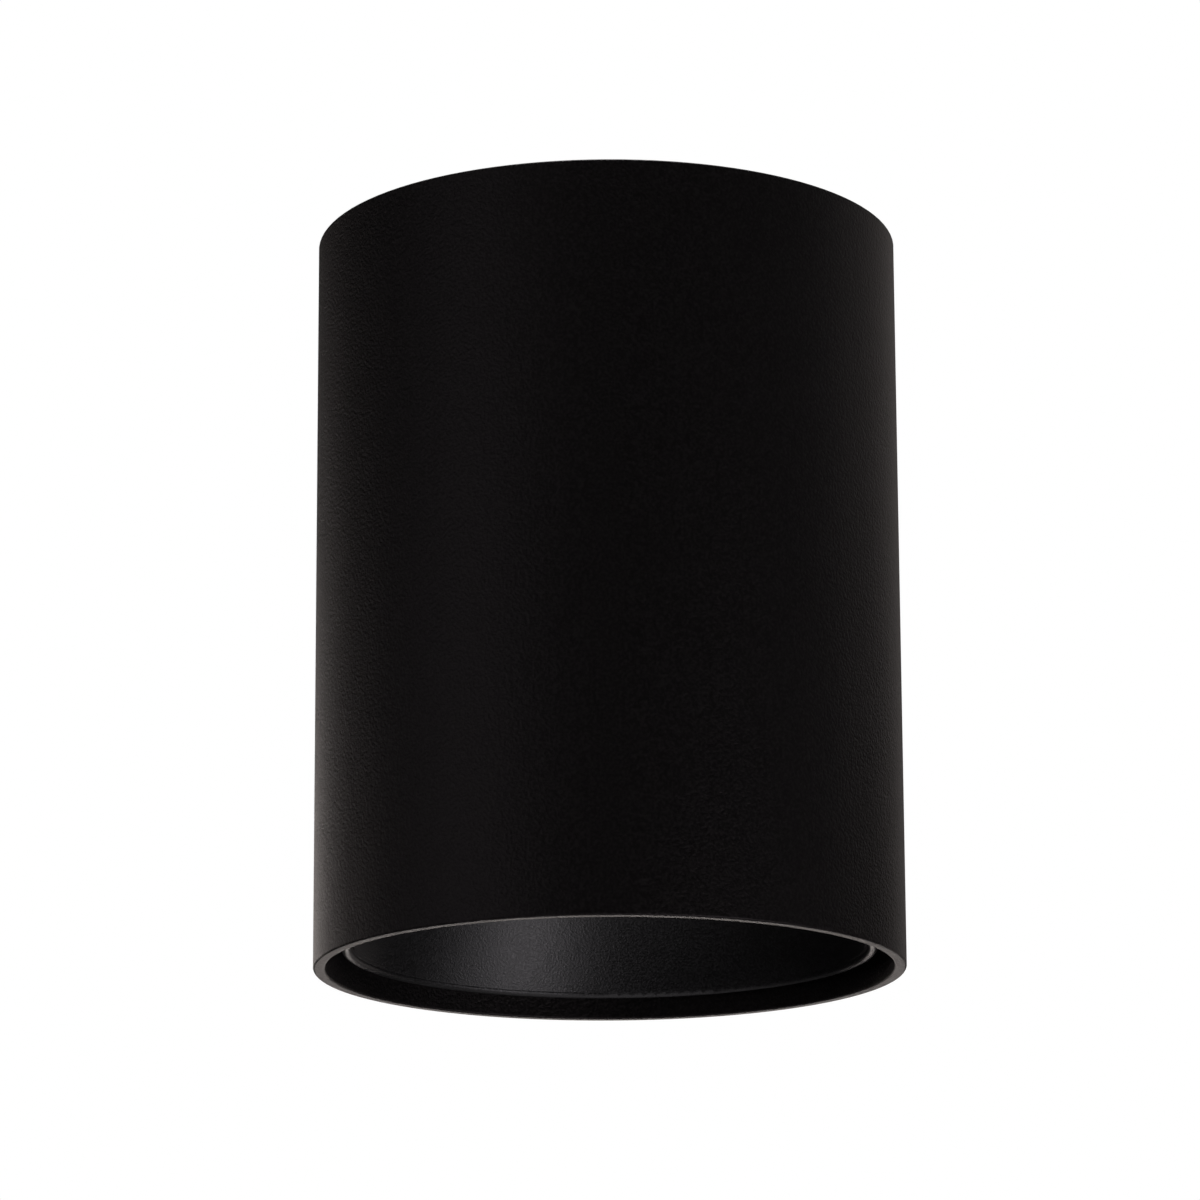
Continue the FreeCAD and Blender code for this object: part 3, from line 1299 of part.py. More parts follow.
def lead_path(points):
    """Straight runs joined by tangent arcs, each as large as its two runs and its named reach allow."""
    edges = []
    reach = number("lead_bend_reach")
    start = points[0]
    for before, corner, after in zip(points, points[1:], points[2:]):
        toward = (before - corner).normalize()
        away = (after - corner).normalize()
        half_turn = (math.pi - toward.getAngle(away)) / 2
        inset = min(reach, BEND_SHARE * min((before - corner).Length, (after - corner).Length))
        radius = inset / math.tan(half_turn)
        first = corner + toward * inset
        last = corner + away * inset
        inward = (toward + away).normalize()
        middle = corner + inward * (math.hypot(radius, inset) - radius)
        edges.append(Part.LineSegment(start, first).toShape())
        edges.append(Part.Arc(first, middle, last).toShape())
        print(f"lead bend radius {radius:.1f} mm, {radius / number('lead_diameter'):.1f} diameters")
        start = last
    edges.append(Part.LineSegment(start, points[-1]).toShape())
    return Part.Wire(edges)


def lead(name, places):
    """An insulated lead along a path whose points are expressions."""
    points = [FreeCAD.Vector(*(number(text) for text in place)) for place in places]
    path = lead_path(points)
    direction = (points[1] - points[0]).normalize()
    section = Part.Wire([Part.Circle(points[0], direction, number("lead_diameter / 2")).toShape()])
    item = doc.addObject("Part::Feature", name)
    item.Shape = path.makePipeShell([section], True, False)
    expected = path.Length * section.Length**2 / (4 * math.pi)
    print(f"{name} is {path.Length:.1f} mm long, volume {item.Shape.Volume / expected:.4f} of its section")
    node(name, item)


def leads():
    for name, step in (("line_lead", POLE_STEPS[0]), ("neutral_lead", POLE_STEPS[1])):
        x = f"{step} * pole_pitch"
        lead(
            name,
            [
                (x, "block_front + lead_insert", "entry_height"),
                (x, "block_front - lead_straight", "entry_height"),
                (x, "driver_front + lead_straight", "driver_lead_height"),
                (x, "driver_front - driver_wall - driver_lead_insert", "driver_lead_height"),
            ],
        )
    x = f"{POLE_STEPS[2]} * pole_pitch"
    lead(
        "earth_lead",
        [
            (x, "block_front + lead_insert", "entry_height"),
            (x, "earth_front", "(entry_height + barrel_level) / 2"),
            (f"({x} + lug_start) / 2", "earth_front", "barrel_level"),
            ("lug_start + lug_barrel_length - lead_insert", "earth_front", "barrel_level"),
        ],
    )
    for name, sign in (("positive_lead", "+"), ("negative_lead", "-")):
        y = f"-lead_pair_setback {sign} lead_pair_spacing / 2"
        lead(
            name,
            [
                ("driver_reach - driver_wall - driver_lead_insert", y, "driver_lead_height"),
                ("lead_hole_reach", y, "driver_lead_height"),
                ("lead_hole_reach", y, "lamp_lead_height"),
                ("holder_radius - notch_depth / 2", y, "lamp_lead_height"),
            ],
        )


def light_source():
    pad_length = "lamp_board_length - 2 * pad_margin"
    node("thermal_pad", box("pad_solid", pad_length, pad_length, "pad_thickness", z="lamp_board_top"))
    board = box("lamp_board_solid", "lamp_board_length", "lamp_board_length", "lamp_board_thickness",
                z="lamp_board_bottom")
    node("led_board", board)
    emitter = cylinder("emitter_solid", "emitter_diameter / 2", "emitter_height",
                       z="lamp_board_bottom - emitter_height")
    node("led_emitter", emitter)


def reflector_hooks():
    """Three hooks that reach in under the reflector's tabs, each with a stop at one end."""
    hooks = []
    for index in range(HOOKS):
        middle = direction_of("hook_angle", index, HOOKS)
        name = f"hook_{index + 1}"
        stop = f"{middle} + tab_span / 2 + stop_gap + stop_span / 2"
        drop = "holder_bottom - hook_bottom"
        hooks += [
            sector(name + "_root", "holder_radius - hook_grip", "hook_outer_radius", middle, "hook_span",
                   "holder_bottom", "holder_thickness"),
            sector(name + "_wall", "hook_inner_radius", "hook_outer_radius", middle, "hook_span",
                   "hook_bottom", drop),
            sector(name + "_lip", "hook_lip_radius", "hook_outer_radius", middle, "hook_span",
                   "hook_bottom", "hook_lip_thickness"),
            sector(name + "_stop", "hook_lip_radius", "hook_outer_radius", stop, "stop_span",
                   "hook_bottom", drop),
        ]
    return hooks


def led_holder():
    """The holder that clamps the lamp board and carries the reflector on three hooks."""
    blank = cylinder("holder_blank", "holder_radius", "holder_thickness", z="holder_bottom")
    pocket_length = "lamp_board_length + 2 * holder_pocket_gap"
    pocket = box("board_pocket", pocket_length, pocket_length, "sink_bottom - holder_ledge + cut_overrun",
                 z="holder_ledge")
    aperture_height = "holder_ledge - holder_bottom"
    aperture = cone("aperture", "aperture_bottom_diameter / 2", "aperture_top_diameter / 2", aperture_height,
                    z="holder_bottom")
    notch = box("lead_notch", "notch_depth + cut_overrun",
                "lead_pair_spacing + lead_diameter + 2 * notch_margin", "notch_height + cut_overrun",
                "holder_radius - (notch_depth - cut_overrun) / 2", "-lead_pair_setback",
                "sink_bottom - notch_height")
    tools = [pocket, aperture, notch]
    for sign in SIDES:
        y = f"{sign}holder_screw_reach"
        tools.append(screw_hole("holder_hole", "0", y, "holder_bottom", "holder_thickness"))
        tools.append(
            cylinder("counterbore", "screw_head_diameter / 2 + counterbore_gap",
                     "counterbore_depth + cut_overrun", "0", y, "holder_bottom - cut_overrun")
        )
    body = cut("holder_cut", blank, tools)
    node("led_holder", union("holder_whole", [body] + reflector_hooks()))


def holder_screws():
    screws = []
    for index, sign in enumerate(SIDES):
        screws.append(
            screw(f"holder_screw_{index + 1}", "0", f"{sign}holder_screw_reach",
                  "holder_bottom + counterbore_depth", "holder_screw_length", "down")
        )
    node("holder_screws", group("holder_screw_group", screws))


def reflector():
    """A deep curved cone with a rounded lip, carried by three tabs on its flange."""
    lip_outer_top = "lip_middle_level + lip_height - lip_bead_radius"
    body = turned_body(
        "reflector_body",
        [
            ("diffuser_seat_radius", "flange_top"),
            ("diffuser_seat_radius", "diffuser_bottom"),
            ("throat_radius", "diffuser_bottom"),
            ("throat_radius", "flange_bottom", "cone_curve_radius", 1),
            ("cone_mouth_radius", "lip_middle_level"),
            ("cone_mouth_radius + groove_width / 2", "lip_middle_level + groove_depth"),
            ("lip_inner_radius", "lip_middle_level", "lip_bead_radius", -1),
            ("lip_inner_radius + lip_bead_radius", "lip_level", "lip_bead_radius", -1),
            ("lip_radius", "lip_middle_level"),
            ("lip_radius", lip_outer_top),
            ("cone_mouth_radius + cone_wall", lip_outer_top, "cone_curve_radius", -1),
            ("throat_radius + cone_wall", "flange_bottom"),
            ("flange_radius", "flange_bottom"),
            ("flange_radius", "flange_top"),
        ],
    )
    tabs = []
    for index in range(HOOKS):
        middle = direction_of("hook_angle", index, HOOKS)
        inner = "flange_radius - cone_wall"
        tabs.append(
            sector(f"tab_{index + 1}", inner, "tab_radius", middle, "tab_span",
                   "tab_bottom", "tab_thickness")
        )
    node("reflector", union("reflector_whole", [body] + tabs))


def diffuser():
    disc = cylinder("diffuser_solid", "diffuser_radius", "diffuser_thickness", z="diffuser_bottom")
    node("diffuser", disc)


def check_and_write():
    """Stop at any failed object or bad shape; then write one file to each sub-part."""
    doc.recompute()
    failed = [item.Label for item in doc.Objects if "Invalid" in item.State or "Error" in item.State]
    if failed:
        raise RuntimeError("failed: " + ", ".join(failed))
    os.makedirs("parts", exist_ok=True)
    for item in nodes:
        shape = item.Shape
        if shape.isNull() or not shape.isValid() or not shape.Solids:
            raise RuntimeError(f"{item.Label} has no valid solid")
    for item in nodes:
        item.Shape.exportStep(f"parts/{item.Label}.step")
    print(f"{len(nodes)} sub-parts, rim at {number('rim_level'):.2f} mm")


fill_sheet()
mounting_plate()
shoulder_studs()
preload_springs()
cable_grommet()
housing_tube()
bayonet_ring()
heat_sink()
tray_pillars()
gear_tray()
tray_fasteners()
insulating_sheet()
driver_base()
driver_cover()
driver_board()
transformer()
capacitors()
filter_choke()
driver_chips()
selector()
terminal_block()
terminal_inside()
levers()
cable_clamp()
earth_bond()
leads()
light_source()
led_holder()
holder_screws()
reflector()
diffuser()
check_and_write()
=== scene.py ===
import math
import random

import bmesh
import bpy
from bpy.props import FloatProperty, FloatVectorProperty, IntProperty, PointerProperty
from mathutils import Matrix, Vector


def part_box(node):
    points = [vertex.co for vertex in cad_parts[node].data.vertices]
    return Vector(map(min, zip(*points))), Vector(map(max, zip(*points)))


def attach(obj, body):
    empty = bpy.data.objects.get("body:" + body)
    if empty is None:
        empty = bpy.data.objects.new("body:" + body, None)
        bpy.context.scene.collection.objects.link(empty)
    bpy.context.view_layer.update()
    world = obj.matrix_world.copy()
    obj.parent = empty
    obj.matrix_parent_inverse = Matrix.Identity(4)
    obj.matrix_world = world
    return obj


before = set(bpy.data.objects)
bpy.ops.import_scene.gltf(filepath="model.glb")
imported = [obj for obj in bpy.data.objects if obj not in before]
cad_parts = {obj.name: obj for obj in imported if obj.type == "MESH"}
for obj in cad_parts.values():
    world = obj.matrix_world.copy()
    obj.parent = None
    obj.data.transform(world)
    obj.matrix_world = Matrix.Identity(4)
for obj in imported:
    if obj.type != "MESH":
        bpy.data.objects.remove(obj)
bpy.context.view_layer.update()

# Surface-mounted downlight: a black tube on a ceiling plate, with a deep black
# reflector. Every piece lies where the frame has it, in metres, with the middle
# of the ceiling face as the origin and the tube hanging down from it.

bl_info = {
    "name": "Surface-mounted downlight",
    "version": (1, 0, 0),
    "blender": (4, 5, 0),
    "location": "3D View > Sidebar > Downlight",
    "description": "Finishes, small parts and studio of a surface-mounted downlight",
    "category": "Object",
}

FITTING = "fitting"
MILLIMETRE = 0.001
FULL_TURN = 2 * math.pi

# Sizes of the broad, faint shades under the fine grain of a finish.
CLOUD_SIZE = 9 * MILLIMETRE
FLOW_SIZE = 6 * MILLIMETRE
RUB_SIZE = 1.5 * MILLIMETRE

# Stretch of the grain of a metal along x, y and z: a small share draws streaks that way.
ALONG_X = (0.2, 1.0, 1.0)
ALONG_Y = (1.0, 0.05, 1.0)
EXTRUDED_Y = (1.0, 0.08, 1.0)
STAMPED_Y = (1.0, 0.3, 1.0)
TURNED_Z = (0.15, 0.15, 1.0)
PLATED_Z = (1.0, 1.0, 0.3)
EVEN = (1.0, 1.0, 1.0)

# The driver's large parts with legs, and what else stands on its board.
LEGGED_PARTS = (
    "reservoir_capacitor", "output_capacitor", "film_capacitor", "filter_choke",
    "transformer_core",
)
OTHER_BOARD_PARTS = ("transformer_winding", "driver_chips", "selector_body")

# Soft boxes of the studio: name, turn from the camera's side and rise in degrees,
# width and height in metres, power in watts and colour.
PLAIN_LIGHT = (1.0, 1.0, 1.0)
WARM_LIGHT = (1.0, 0.92, 0.87)
SOFT_BOXES = (
    ("overhead_box", 0.0, 90.0, 0.4, 0.4, 7.0, PLAIN_LIGHT),
    ("below_box", 0.0, -88.0, 1.2, 1.2, 1.2, PLAIN_LIGHT),
    ("left_back_box", -155.0, 2.0, 0.36, 0.36, 1.2, WARM_LIGHT),
    ("left_rear_box", -130.0, 2.0, 0.36, 0.36, 0.54, WARM_LIGHT),
    ("left_side_box", -78.0, 1.0, 0.7, 0.36, 0.25, PLAIN_LIGHT),
    ("left_front_box", -50.0, 4.0, 0.36, 0.45, 0.6, PLAIN_LIGHT),
    ("right_side_box", 92.0, 22.0, 1.1, 0.36, 0.2, PLAIN_LIGHT),
    ("right_rear_box", 130.0, 20.0, 0.36, 0.4, 0.24, WARM_LIGHT),
    ("right_back_box", 155.0, 12.0, 0.36, 0.74, 0.42, WARM_LIGHT),
    ("back_wall_box", 180.0, -12.0, 0.36, 0.36, 1.1, WARM_LIGHT),
    ("right_back_wall_box", 150.0, -12.0, 0.36, 0.36, 0.25, WARM_LIGHT),
    ("low_front_box", 44.0, -35.0, 0.48, 0.36, 1.55, PLAIN_LIGHT),
    ("low_right_box", 70.0, -30.0, 0.36, 0.36, 0.32, PLAIN_LIGHT),
)
BOX_DISTANCE = 1.2
BOX_TARGET = (0.0, 0.0, -0.07)
SENSOR_WIDTH = 36.0
FLOOR_REACH = 12.0
FLOOR_GLOW = 0.85


def colour_property(name, description, default):
    return FloatVectorProperty(name=name, description=description, default=default,
                               subtype="COLOR", size=3, min=0.0, max=1.0)


def length_property(name, description, default):
    return FloatProperty(name=name, description=description, default=default,
                         unit="LENGTH", subtype="DISTANCE", precision=5, min=0.0)


def share_property(name, description, default):
    return FloatProperty(name=name, description=description, default=default,
                         subtype="FACTOR", min=0.0, max=1.0)


class DownlightCoat(bpy.types.PropertyGroup):
    """The black finishes that show in the room."""

    coat_colour: colour_property("Coat colour", "Powder coat of the tube", (0.0055, 0.0051, 0.0051))
    coat_speck_colour: colour_property("Coat specks", "Light specks in the coat",
                                       (0.022, 0.0195, 0.02))
    coat_roughness: share_property("Coat roughness", "How matte the powder coat is", 0.5)
    grit_size: length_property("Grit size", "Grain of the powder coat", 0.5 * MILLIMETRE)
    grit_height: length_property("Grit height", "How far the grains stand up", 0.17 * MILLIMETRE)
    peel_size: length_property("Ripple size", "Soft ripples in the powder coat", 2.2 * MILLIMETRE)
    reflector_colour: colour_property("Reflector colour", "Satin black of the reflector",
                                      (0.0065, 0.0062, 0.0067))
    reflector_roughness: share_property("Reflector roughness", "How satin the reflector is", 0.41)
    diffuser_colour: colour_property("Diffuser colour", "Opal of the diffuser", (0.82, 0.81, 0.78))


class DownlightMetal(bpy.types.PropertyGroup):
    """Plated, rolled and turned metals."""

    zinc_colour: colour_property("Zinc colour", "Plated sheet", (0.56, 0.57, 0.58))
    screw_colour: colour_property("Screw colour", "Plated screws", (0.62, 0.62, 0.6))
    spring_colour: colour_property("Spring colour", "Rolled spring strip", (0.42, 0.42, 0.43))
    aluminium_colour: colour_property("Aluminium colour", "Heat sink, rivets and bare can tops",
                                      (0.64, 0.65, 0.66))
    brass_colour: colour_property("Brass colour", "Turned pillars", (0.66, 0.47, 0.18))
    copper_colour: colour_property("Copper colour", "Contacts and wire", (0.62, 0.27, 0.12))
    grain_size: length_property("Grain size", "Width of the rolling marks", 0.2 * MILLIMETRE)
    worn_edge: length_property("Worn edge", "Width of the bright edges", 0.25 * MILLIMETRE)


class DownlightPlastic(bpy.types.PropertyGroup):
    """Moulded plastics, rubber and insulation."""

    white_colour: colour_property("White plastic", "Driver case and lamp holder",
                                  (0.72, 0.72, 0.69))
    grey_colour: colour_property("Grey plastic", "Terminal block", (0.4, 0.41, 0.42))
    black_colour: colour_property("Black plastic", "Small moulded parts", (0.02, 0.02, 0.021))
    orange_colour: colour_property("Lever colour", "Terminal levers", (0.78, 0.2, 0.015))
    rubber_colour: colour_property("Rubber colour", "Grommet", (0.018, 0.018, 0.018))
    skin_size: length_property("Skin size", "Grain of the moulded skin", 0.18 * MILLIMETRE)


class DownlightBoard(bpy.types.PropertyGroup):
    """Small parts on the driver's board and at the light source."""

    wire_diameter: length_property("Choke wire", "Wire wound on the choke", 0.5 * MILLIMETRE)
    wire_gap: length_property("Wire gap", "Between the turns and to the bobbin", 0.05 * MILLIMETRE)
    joint_radius: length_property("Solder joint", "Radius of a solder joint", 0.7 * MILLIMETRE)
    resistor_length: length_property("Resistor length", "Length of a flat resistor",
                                     2.0 * MILLIMETRE)
    resistors: IntProperty(name="Resistors", description="Flat resistors on the board",
                           default=9, min=0)
    dam_width: length_property("Dam width", "White ring round the light field", 0.7 * MILLIMETRE)
    seed: IntProperty(name="Seed", description="Start of the random draws", default=7, min=0)


class DownlightStage(bpy.types.PropertyGroup):
    """The studio and the camera."""

    eye_side: FloatProperty(name="Camera x", description="Camera's place to the side",
                            default=-0.00134, unit="LENGTH")
    eye_back: FloatProperty(name="Camera y", description="Camera's place in front",
                            default=-0.880, unit="LENGTH")
    eye_height: FloatProperty(name="Camera z", description="Camera's place below the ceiling",
                              default=-0.2842, unit="LENGTH")
    eye_pitch: FloatProperty(name="Camera tilt", description="How far the camera looks up",
                             default=math.radians(14.18), subtype="ANGLE")
    eye_roll: FloatProperty(name="Camera roll", description="Turn about the view axis",
                            default=math.radians(-0.27), subtype="ANGLE")
    lens: FloatProperty(name="Lens", description="Focal length on a 36 mm sensor", default=162.06,
                        unit="CAMERA")
    floor_level: FloatProperty(name="Floor", description="Level of the pale floor", default=-2.4,
                               unit="LENGTH")
    floor_colour: colour_property("Floor colour", "Plain pale floor", (0.8, 0.8, 0.79))
    room_light: FloatProperty(name="Room light", description="Soft light from all sides",
                              default=0.0, min=0.0)


SETTINGS = {
    "downlight_coat": DownlightCoat,
    "downlight_metal": DownlightMetal,
    "downlight_plastic": DownlightPlastic,
    "downlight_board": DownlightBoard,
    "downlight_stage": DownlightStage,
}


def feed(tree, socket, value):
    """Give a socket a link or a plain value."""
    if isinstance(value, bpy.types.NodeSocket):
        tree.links.new(value, socket)
    elif socket.type == "RGBA" and len(value) == 3:
        socket.default_value = (*value, 1.0)
    else:
        socket.default_value = value


def add_node(tree, kind, settings=None, **sockets):
    """Add a node. Socket names are given with underscores for their blanks."""
    node = tree.nodes.new(kind)
    node.location.x = 200 * len(tree.nodes)
    for name, value in (settings or {}).items():
        setattr(node, name, value)
    for name, value in sockets.items():
        feed(tree, node.inputs[name.replace("_", " ")], value)
    return node


def calc(tree, operation, *values):
    """One step of arithmetic."""
    node = add_node(tree, "ShaderNodeMath", {"operation": operation})
    for socket, value in zip(node.inputs, values):
        feed(tree, socket, value)
    return node.outputs["Value"]


def mix_colours(tree, factor, first, second):
    """The first colour at factor 0, the second at 1."""
    node = add_node(tree, "ShaderNodeMix", {"data_type": "RGBA"})
    sockets = [socket for socket in node.inputs if socket.type == "RGBA"]
    feed(tree, node.inputs["Factor"], factor)
    feed(tree, sockets[0], first)
    feed(tree, sockets[1], second)
    return [socket for socket in node.outputs if socket.type == "RGBA"][0]


def ramp(tree, value, low, high):
    """0 below low, 1 above high, and straight between them."""
    node = add_node(tree, "ShaderNodeMapRange", {"clamp": True},
                    Value=value, From_Min=low, From_Max=high)
    return node.outputs["Result"]


def noise(tree, place, size, detail=2.0):
    """A noise with grains of a size in metres."""
    scale = calc(tree, "DIVIDE", 1.0, size)
    node = add_node(tree, "ShaderNodeTexNoise", {"noise_dimensions": "3D"},
                    Vector=place, Scale=scale, Detail=detail)
    return node.outputs["Fac"]


def object_place(tree):
    """The place on a piece in its own metres, so that a finish moves with its piece."""
    return add_node(tree, "ShaderNodeTexCoord").outputs["Object"]


FLOAT = "NodeSocketFloat"
COLOUR = "NodeSocketColor"
VECTOR = "NodeSocketVector"


def new_group(name, inputs, outputs):
    """An empty shader node group with named sockets, and its two end nodes."""
    group = bpy.data.node_groups.new(name, "ShaderNodeTree")
    for label, kind in inputs:
        group.interface.new_socket(name=label, in_out="INPUT", socket_type=kind)
    for label, kind in outputs:
        group.interface.new_socket(name=label, in_out="OUTPUT", socket_type=kind)
    start = group.nodes.new("NodeGroupInput")
    end = group.nodes.new("NodeGroupOutput")
    return group, start.outputs, end.inputs


def varied(tree, middle, change, mask):
    """A value that swings about its middle as the mask swings about a half."""
    return calc(tree, "MULTIPLY_ADD", calc(tree, "SUBTRACT", mask, 0.5), change, middle)


def powder_grit():
    """Fine grains with soft ripples under them, and a few lighter specks."""
    group, given, made = new_group(
        "Powder grit",
        [("Colour", COLOUR), ("Specks", COLOUR), ("Grit size", FLOAT), ("Ripple size", FLOAT),
         ("Ripple share", FLOAT), ("Roughness", FLOAT), ("Roughness change", FLOAT)],
        [("Colour", COLOUR), ("Roughness", FLOAT), ("Height", FLOAT)],
    )
    place = object_place(group)
    grit = noise(group, place, given["Grit size"], 3.0)
    ripple = noise(group, place, given["Ripple size"], 1.0)
    speck = ramp(group, grit, 0.42, 0.66)
    feed(group, made["Colour"], mix_colours(group, speck, given["Colour"], given["Specks"]))
    gloss = varied(group, given["Roughness"], given["Roughness change"], grit)
    feed(group, made["Roughness"], gloss)
    feed(group, made["Height"], calc(group, "MULTIPLY_ADD", ripple, given["Ripple share"], grit))
    return group


def rolled_grain():
    """Streaks along one direction, as in rolled, drawn or extruded metal."""
    group, given, made = new_group(
        "Rolled grain",
        [("Colour", COLOUR), ("Streaks", COLOUR), ("Grain size", FLOAT), ("Stretch", VECTOR),
         ("Roughness", FLOAT), ("Roughness change", FLOAT)],
        [("Colour", COLOUR), ("Roughness", FLOAT), ("Height", FLOAT)],
    )
    stretched = add_node(group, "ShaderNodeVectorMath", {"operation": "MULTIPLY"})
    feed(group, stretched.inputs[0], object_place(group))
    feed(group, stretched.inputs[1], given["Stretch"])
    grain = noise(group, stretched.outputs["Vector"], given["Grain size"], 3.0)
    cloud = noise(group, object_place(group), CLOUD_SIZE, 2.0)
    both = calc(group, "MULTIPLY", ramp(group, grain, 0.35, 0.7), ramp(group, cloud, 0.2, 0.8))
    feed(group, made["Colour"], mix_colours(group, both, given["Colour"], given["Streaks"]))
    gloss = varied(group, given["Roughness"], given["Roughness change"], grain)
    feed(group, made["Roughness"], gloss)
    feed(group, made["Height"], grain)
    return group


def moulded_skin():
    """The fine matte skin of a moulded part, with faint flow shades."""
    group, given, made = new_group(
        "Moulded skin",
        [("Colour", COLOUR), ("Shade", COLOUR), ("Skin size", FLOAT),
         ("Roughness", FLOAT), ("Roughness change", FLOAT)],
        [("Colour", COLOUR), ("Roughness", FLOAT), ("Height", FLOAT)],
    )
    place = object_place(group)
    skin = noise(group, place, given["Skin size"], 2.0)
    flow = ramp(group, noise(group, place, FLOW_SIZE, 2.0), 0.35, 0.75)
    feed(group, made["Colour"], mix_colours(group, flow, given["Colour"], given["Shade"]))
    gloss = varied(group, given["Roughness"], given["Roughness change"], skin)
    feed(group, made["Roughness"], gloss)
    feed(group, made["Height"], skin)
    return group


def worn_edge():
    """Edges that are rubbed to another colour and gloss."""
    group, given, made = new_group(
        "Worn edge",
        [("Colour", COLOUR), ("Roughness", FLOAT), ("Edge colour", COLOUR),
         ("Edge roughness", FLOAT), ("Edge width", FLOAT), ("Amount", FLOAT)],
        [("Colour", COLOUR), ("Roughness", FLOAT)],
    )
    rounded = add_node(group, "ShaderNodeBevel", {"samples": 4}, Radius=given["Edge width"])
    flat = add_node(group, "ShaderNodeNewGeometry")
    closeness = add_node(group, "ShaderNodeVectorMath", {"operation": "DOT_PRODUCT"})
    feed(group, closeness.inputs[0], rounded.outputs["Normal"])
    feed(group, closeness.inputs[1], flat.outputs["Normal"])
    edge = ramp(group, calc(group, "SUBTRACT", 1.0, closeness.outputs["Value"]), 0.02, 0.25)
    patchy = ramp(group, noise(group, object_place(group), RUB_SIZE, 3.0), 0.3, 0.6)
    mask = calc(group, "MULTIPLY", calc(group, "MULTIPLY", edge, patchy), given["Amount"])
    feed(group, made["Colour"], mix_colours(group, mask, given["Colour"], given["Edge colour"]))
    change = calc(group, "SUBTRACT", given["Edge roughness"], given["Roughness"])
    feed(group, made["Roughness"], calc(group, "MULTIPLY_ADD", change, mask, given["Roughness"]))
    return group


GROUP_MAKERS = {
    "Powder grit": powder_grit,
    "Rolled grain": rolled_grain,
    "Moulded skin": moulded_skin,
    "Worn edge": worn_edge,
}


def group_node(tree, name, values):
    """Place a shared node group, made on its first use, with this material's own values."""
    group = bpy.data.node_groups.get(name) or GROUP_MAKERS[name]()
    node = tree.nodes.new("ShaderNodeGroup")
    node.node_tree = group
    node.location.x = -400
    for label, value in values.items():
        feed(tree, node.inputs[label], value)
    return node


def new_material(name, shader_values):
    """A material with plain numbers on the shader's own sockets."""
    material = bpy.data.materials.new(name)
    material.use_nodes = True
    tree = material.node_tree
    shader = tree.nodes["Principled BSDF"]
    for label, value in shader_values.items():
        feed(tree, shader.inputs[label], value)
    return material, tree, shader


def bump(tree, shader, height, distance):
    """Relief on a finish, with a height from 0 to 1 over a distance in metres."""
    node = add_node(tree, "ShaderNodeBump", Height=height, Distance=distance)
    node.inputs["Strength"].default_value = 1.0
    tree.links.new(node.outputs["Normal"], shader.inputs["Normal"])


def effect_material(name, effect, values, height, **shader_values):
    """A material whose colour, roughness and relief come from one shared effect."""
    labels = {label.replace("_", " "): value for label, value in shader_values.items()}
    material, tree, shader = new_material(name, labels)
    node = group_node(tree, effect, values)
    tree.links.new(node.outputs["Colour"], shader.inputs["Base Color"])
    tree.links.new(node.outputs["Roughness"], shader.inputs["Roughness"])
    bump(tree, shader, node.outputs["Height"], height)
    return material


def add_worn_edge(material, colour, roughness, width, amount):
    """Rub the edges of a finished material."""
    tree = material.node_tree
    shader = tree.nodes["Principled BSDF"]
    colour_from = shader.inputs["Base Color"].links[0].from_socket
    roughness_from = shader.inputs["Roughness"].links[0].from_socket
    node = group_node(tree, "Worn edge", {
        "Colour": colour_from, "Roughness": roughness_from, "Edge colour": colour,
        "Edge roughness": roughness, "Edge width": width, "Amount": amount,
    })
    tree.links.new(node.outputs["Colour"], shader.inputs["Base Color"])
    tree.links.new(node.outputs["Roughness"], shader.inputs["Roughness"])
    return material


def shaded(colour, share):
    """A colour made darker or lighter by a share."""
    return tuple(min(1.0, channel * share) for channel in colour)


def metal(name, colour, size, roughness, stretch, worn=0.0):
    """Rolled, plated or turned metal. Given a width, its edges are rubbed bright."""
    streak_shade, edge_shade = 0.62, 1.35
    edge_gloss, edge_amount = 0.6, 0.8
    material = effect_material(
        name, "Rolled grain",
        {"Colour": colour, "Streaks": shaded(colour, streak_shade), "Grain size": size,
         "Stretch": stretch, "Roughness": roughness, "Roughness change": 0.22},
        height=0.006 * MILLIMETRE, Metallic=1.0,
    )
    if worn:
        add_worn_edge(material, shaded(colour, edge_shade), roughness * edge_gloss,
                      worn, edge_amount)
    return material


def plastic(name, colour, size, roughness, relief=0.012 * MILLIMETRE):
    """Moulded plastic, rubber or an extruded skin. Pale ones shade less than dark ones."""
    shade = 0.8 + 0.22 * max(colour)
    return effect_material(
        name, "Moulded skin",
        {"Colour": colour, "Shade": shaded(colour, shade), "Skin size": size,
         "Roughness": roughness, "Roughness change": 0.16},
        height=relief,
    )


def dress(material, *nodes):
    """Give CAD nodes their material."""
    for name in nodes:
        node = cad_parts[name]
        node.data.materials.clear()
        node.data.materials.append(material)


def place_piece(piece, material, body=FITTING):
    """Finish a new piece: its material and the body it rides on."""
    piece.data.materials.append(material)
    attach(piece, body)
    return piece


def mesh_piece(name, build):
    """A new mesh object that a function builds with bmesh."""
    mesh = bpy.data.meshes.new(name)
    work = bmesh.new()
    build(work)
    work.normal_update()
    work.to_mesh(mesh)
    work.free()
    for face in mesh.polygons:
        face.use_smooth = True
    piece = bpy.data.objects.new(name, mesh)
    bpy.context.scene.collection.objects.link(piece)
    return piece


def add_lathe(work, profile, centre, steps):
    """Turn a closed profile of radii and levels about an upright axis through a centre."""
    rings = []
    for step in range(steps):
        angle = FULL_TURN * step / steps
        across, along = math.cos(angle), math.sin(angle)
        rings.append([
            work.verts.new((centre[0] + radius * across, centre[1] + radius * along, level))
            for radius, level in profile
        ])
    count = len(profile)
    for step in range(steps):
        near, far = rings[step], rings[(step + 1) % steps]
        for index in range(count):
            after = (index + 1) % count
            work.faces.new((near[index], far[index], far[after], near[after]))


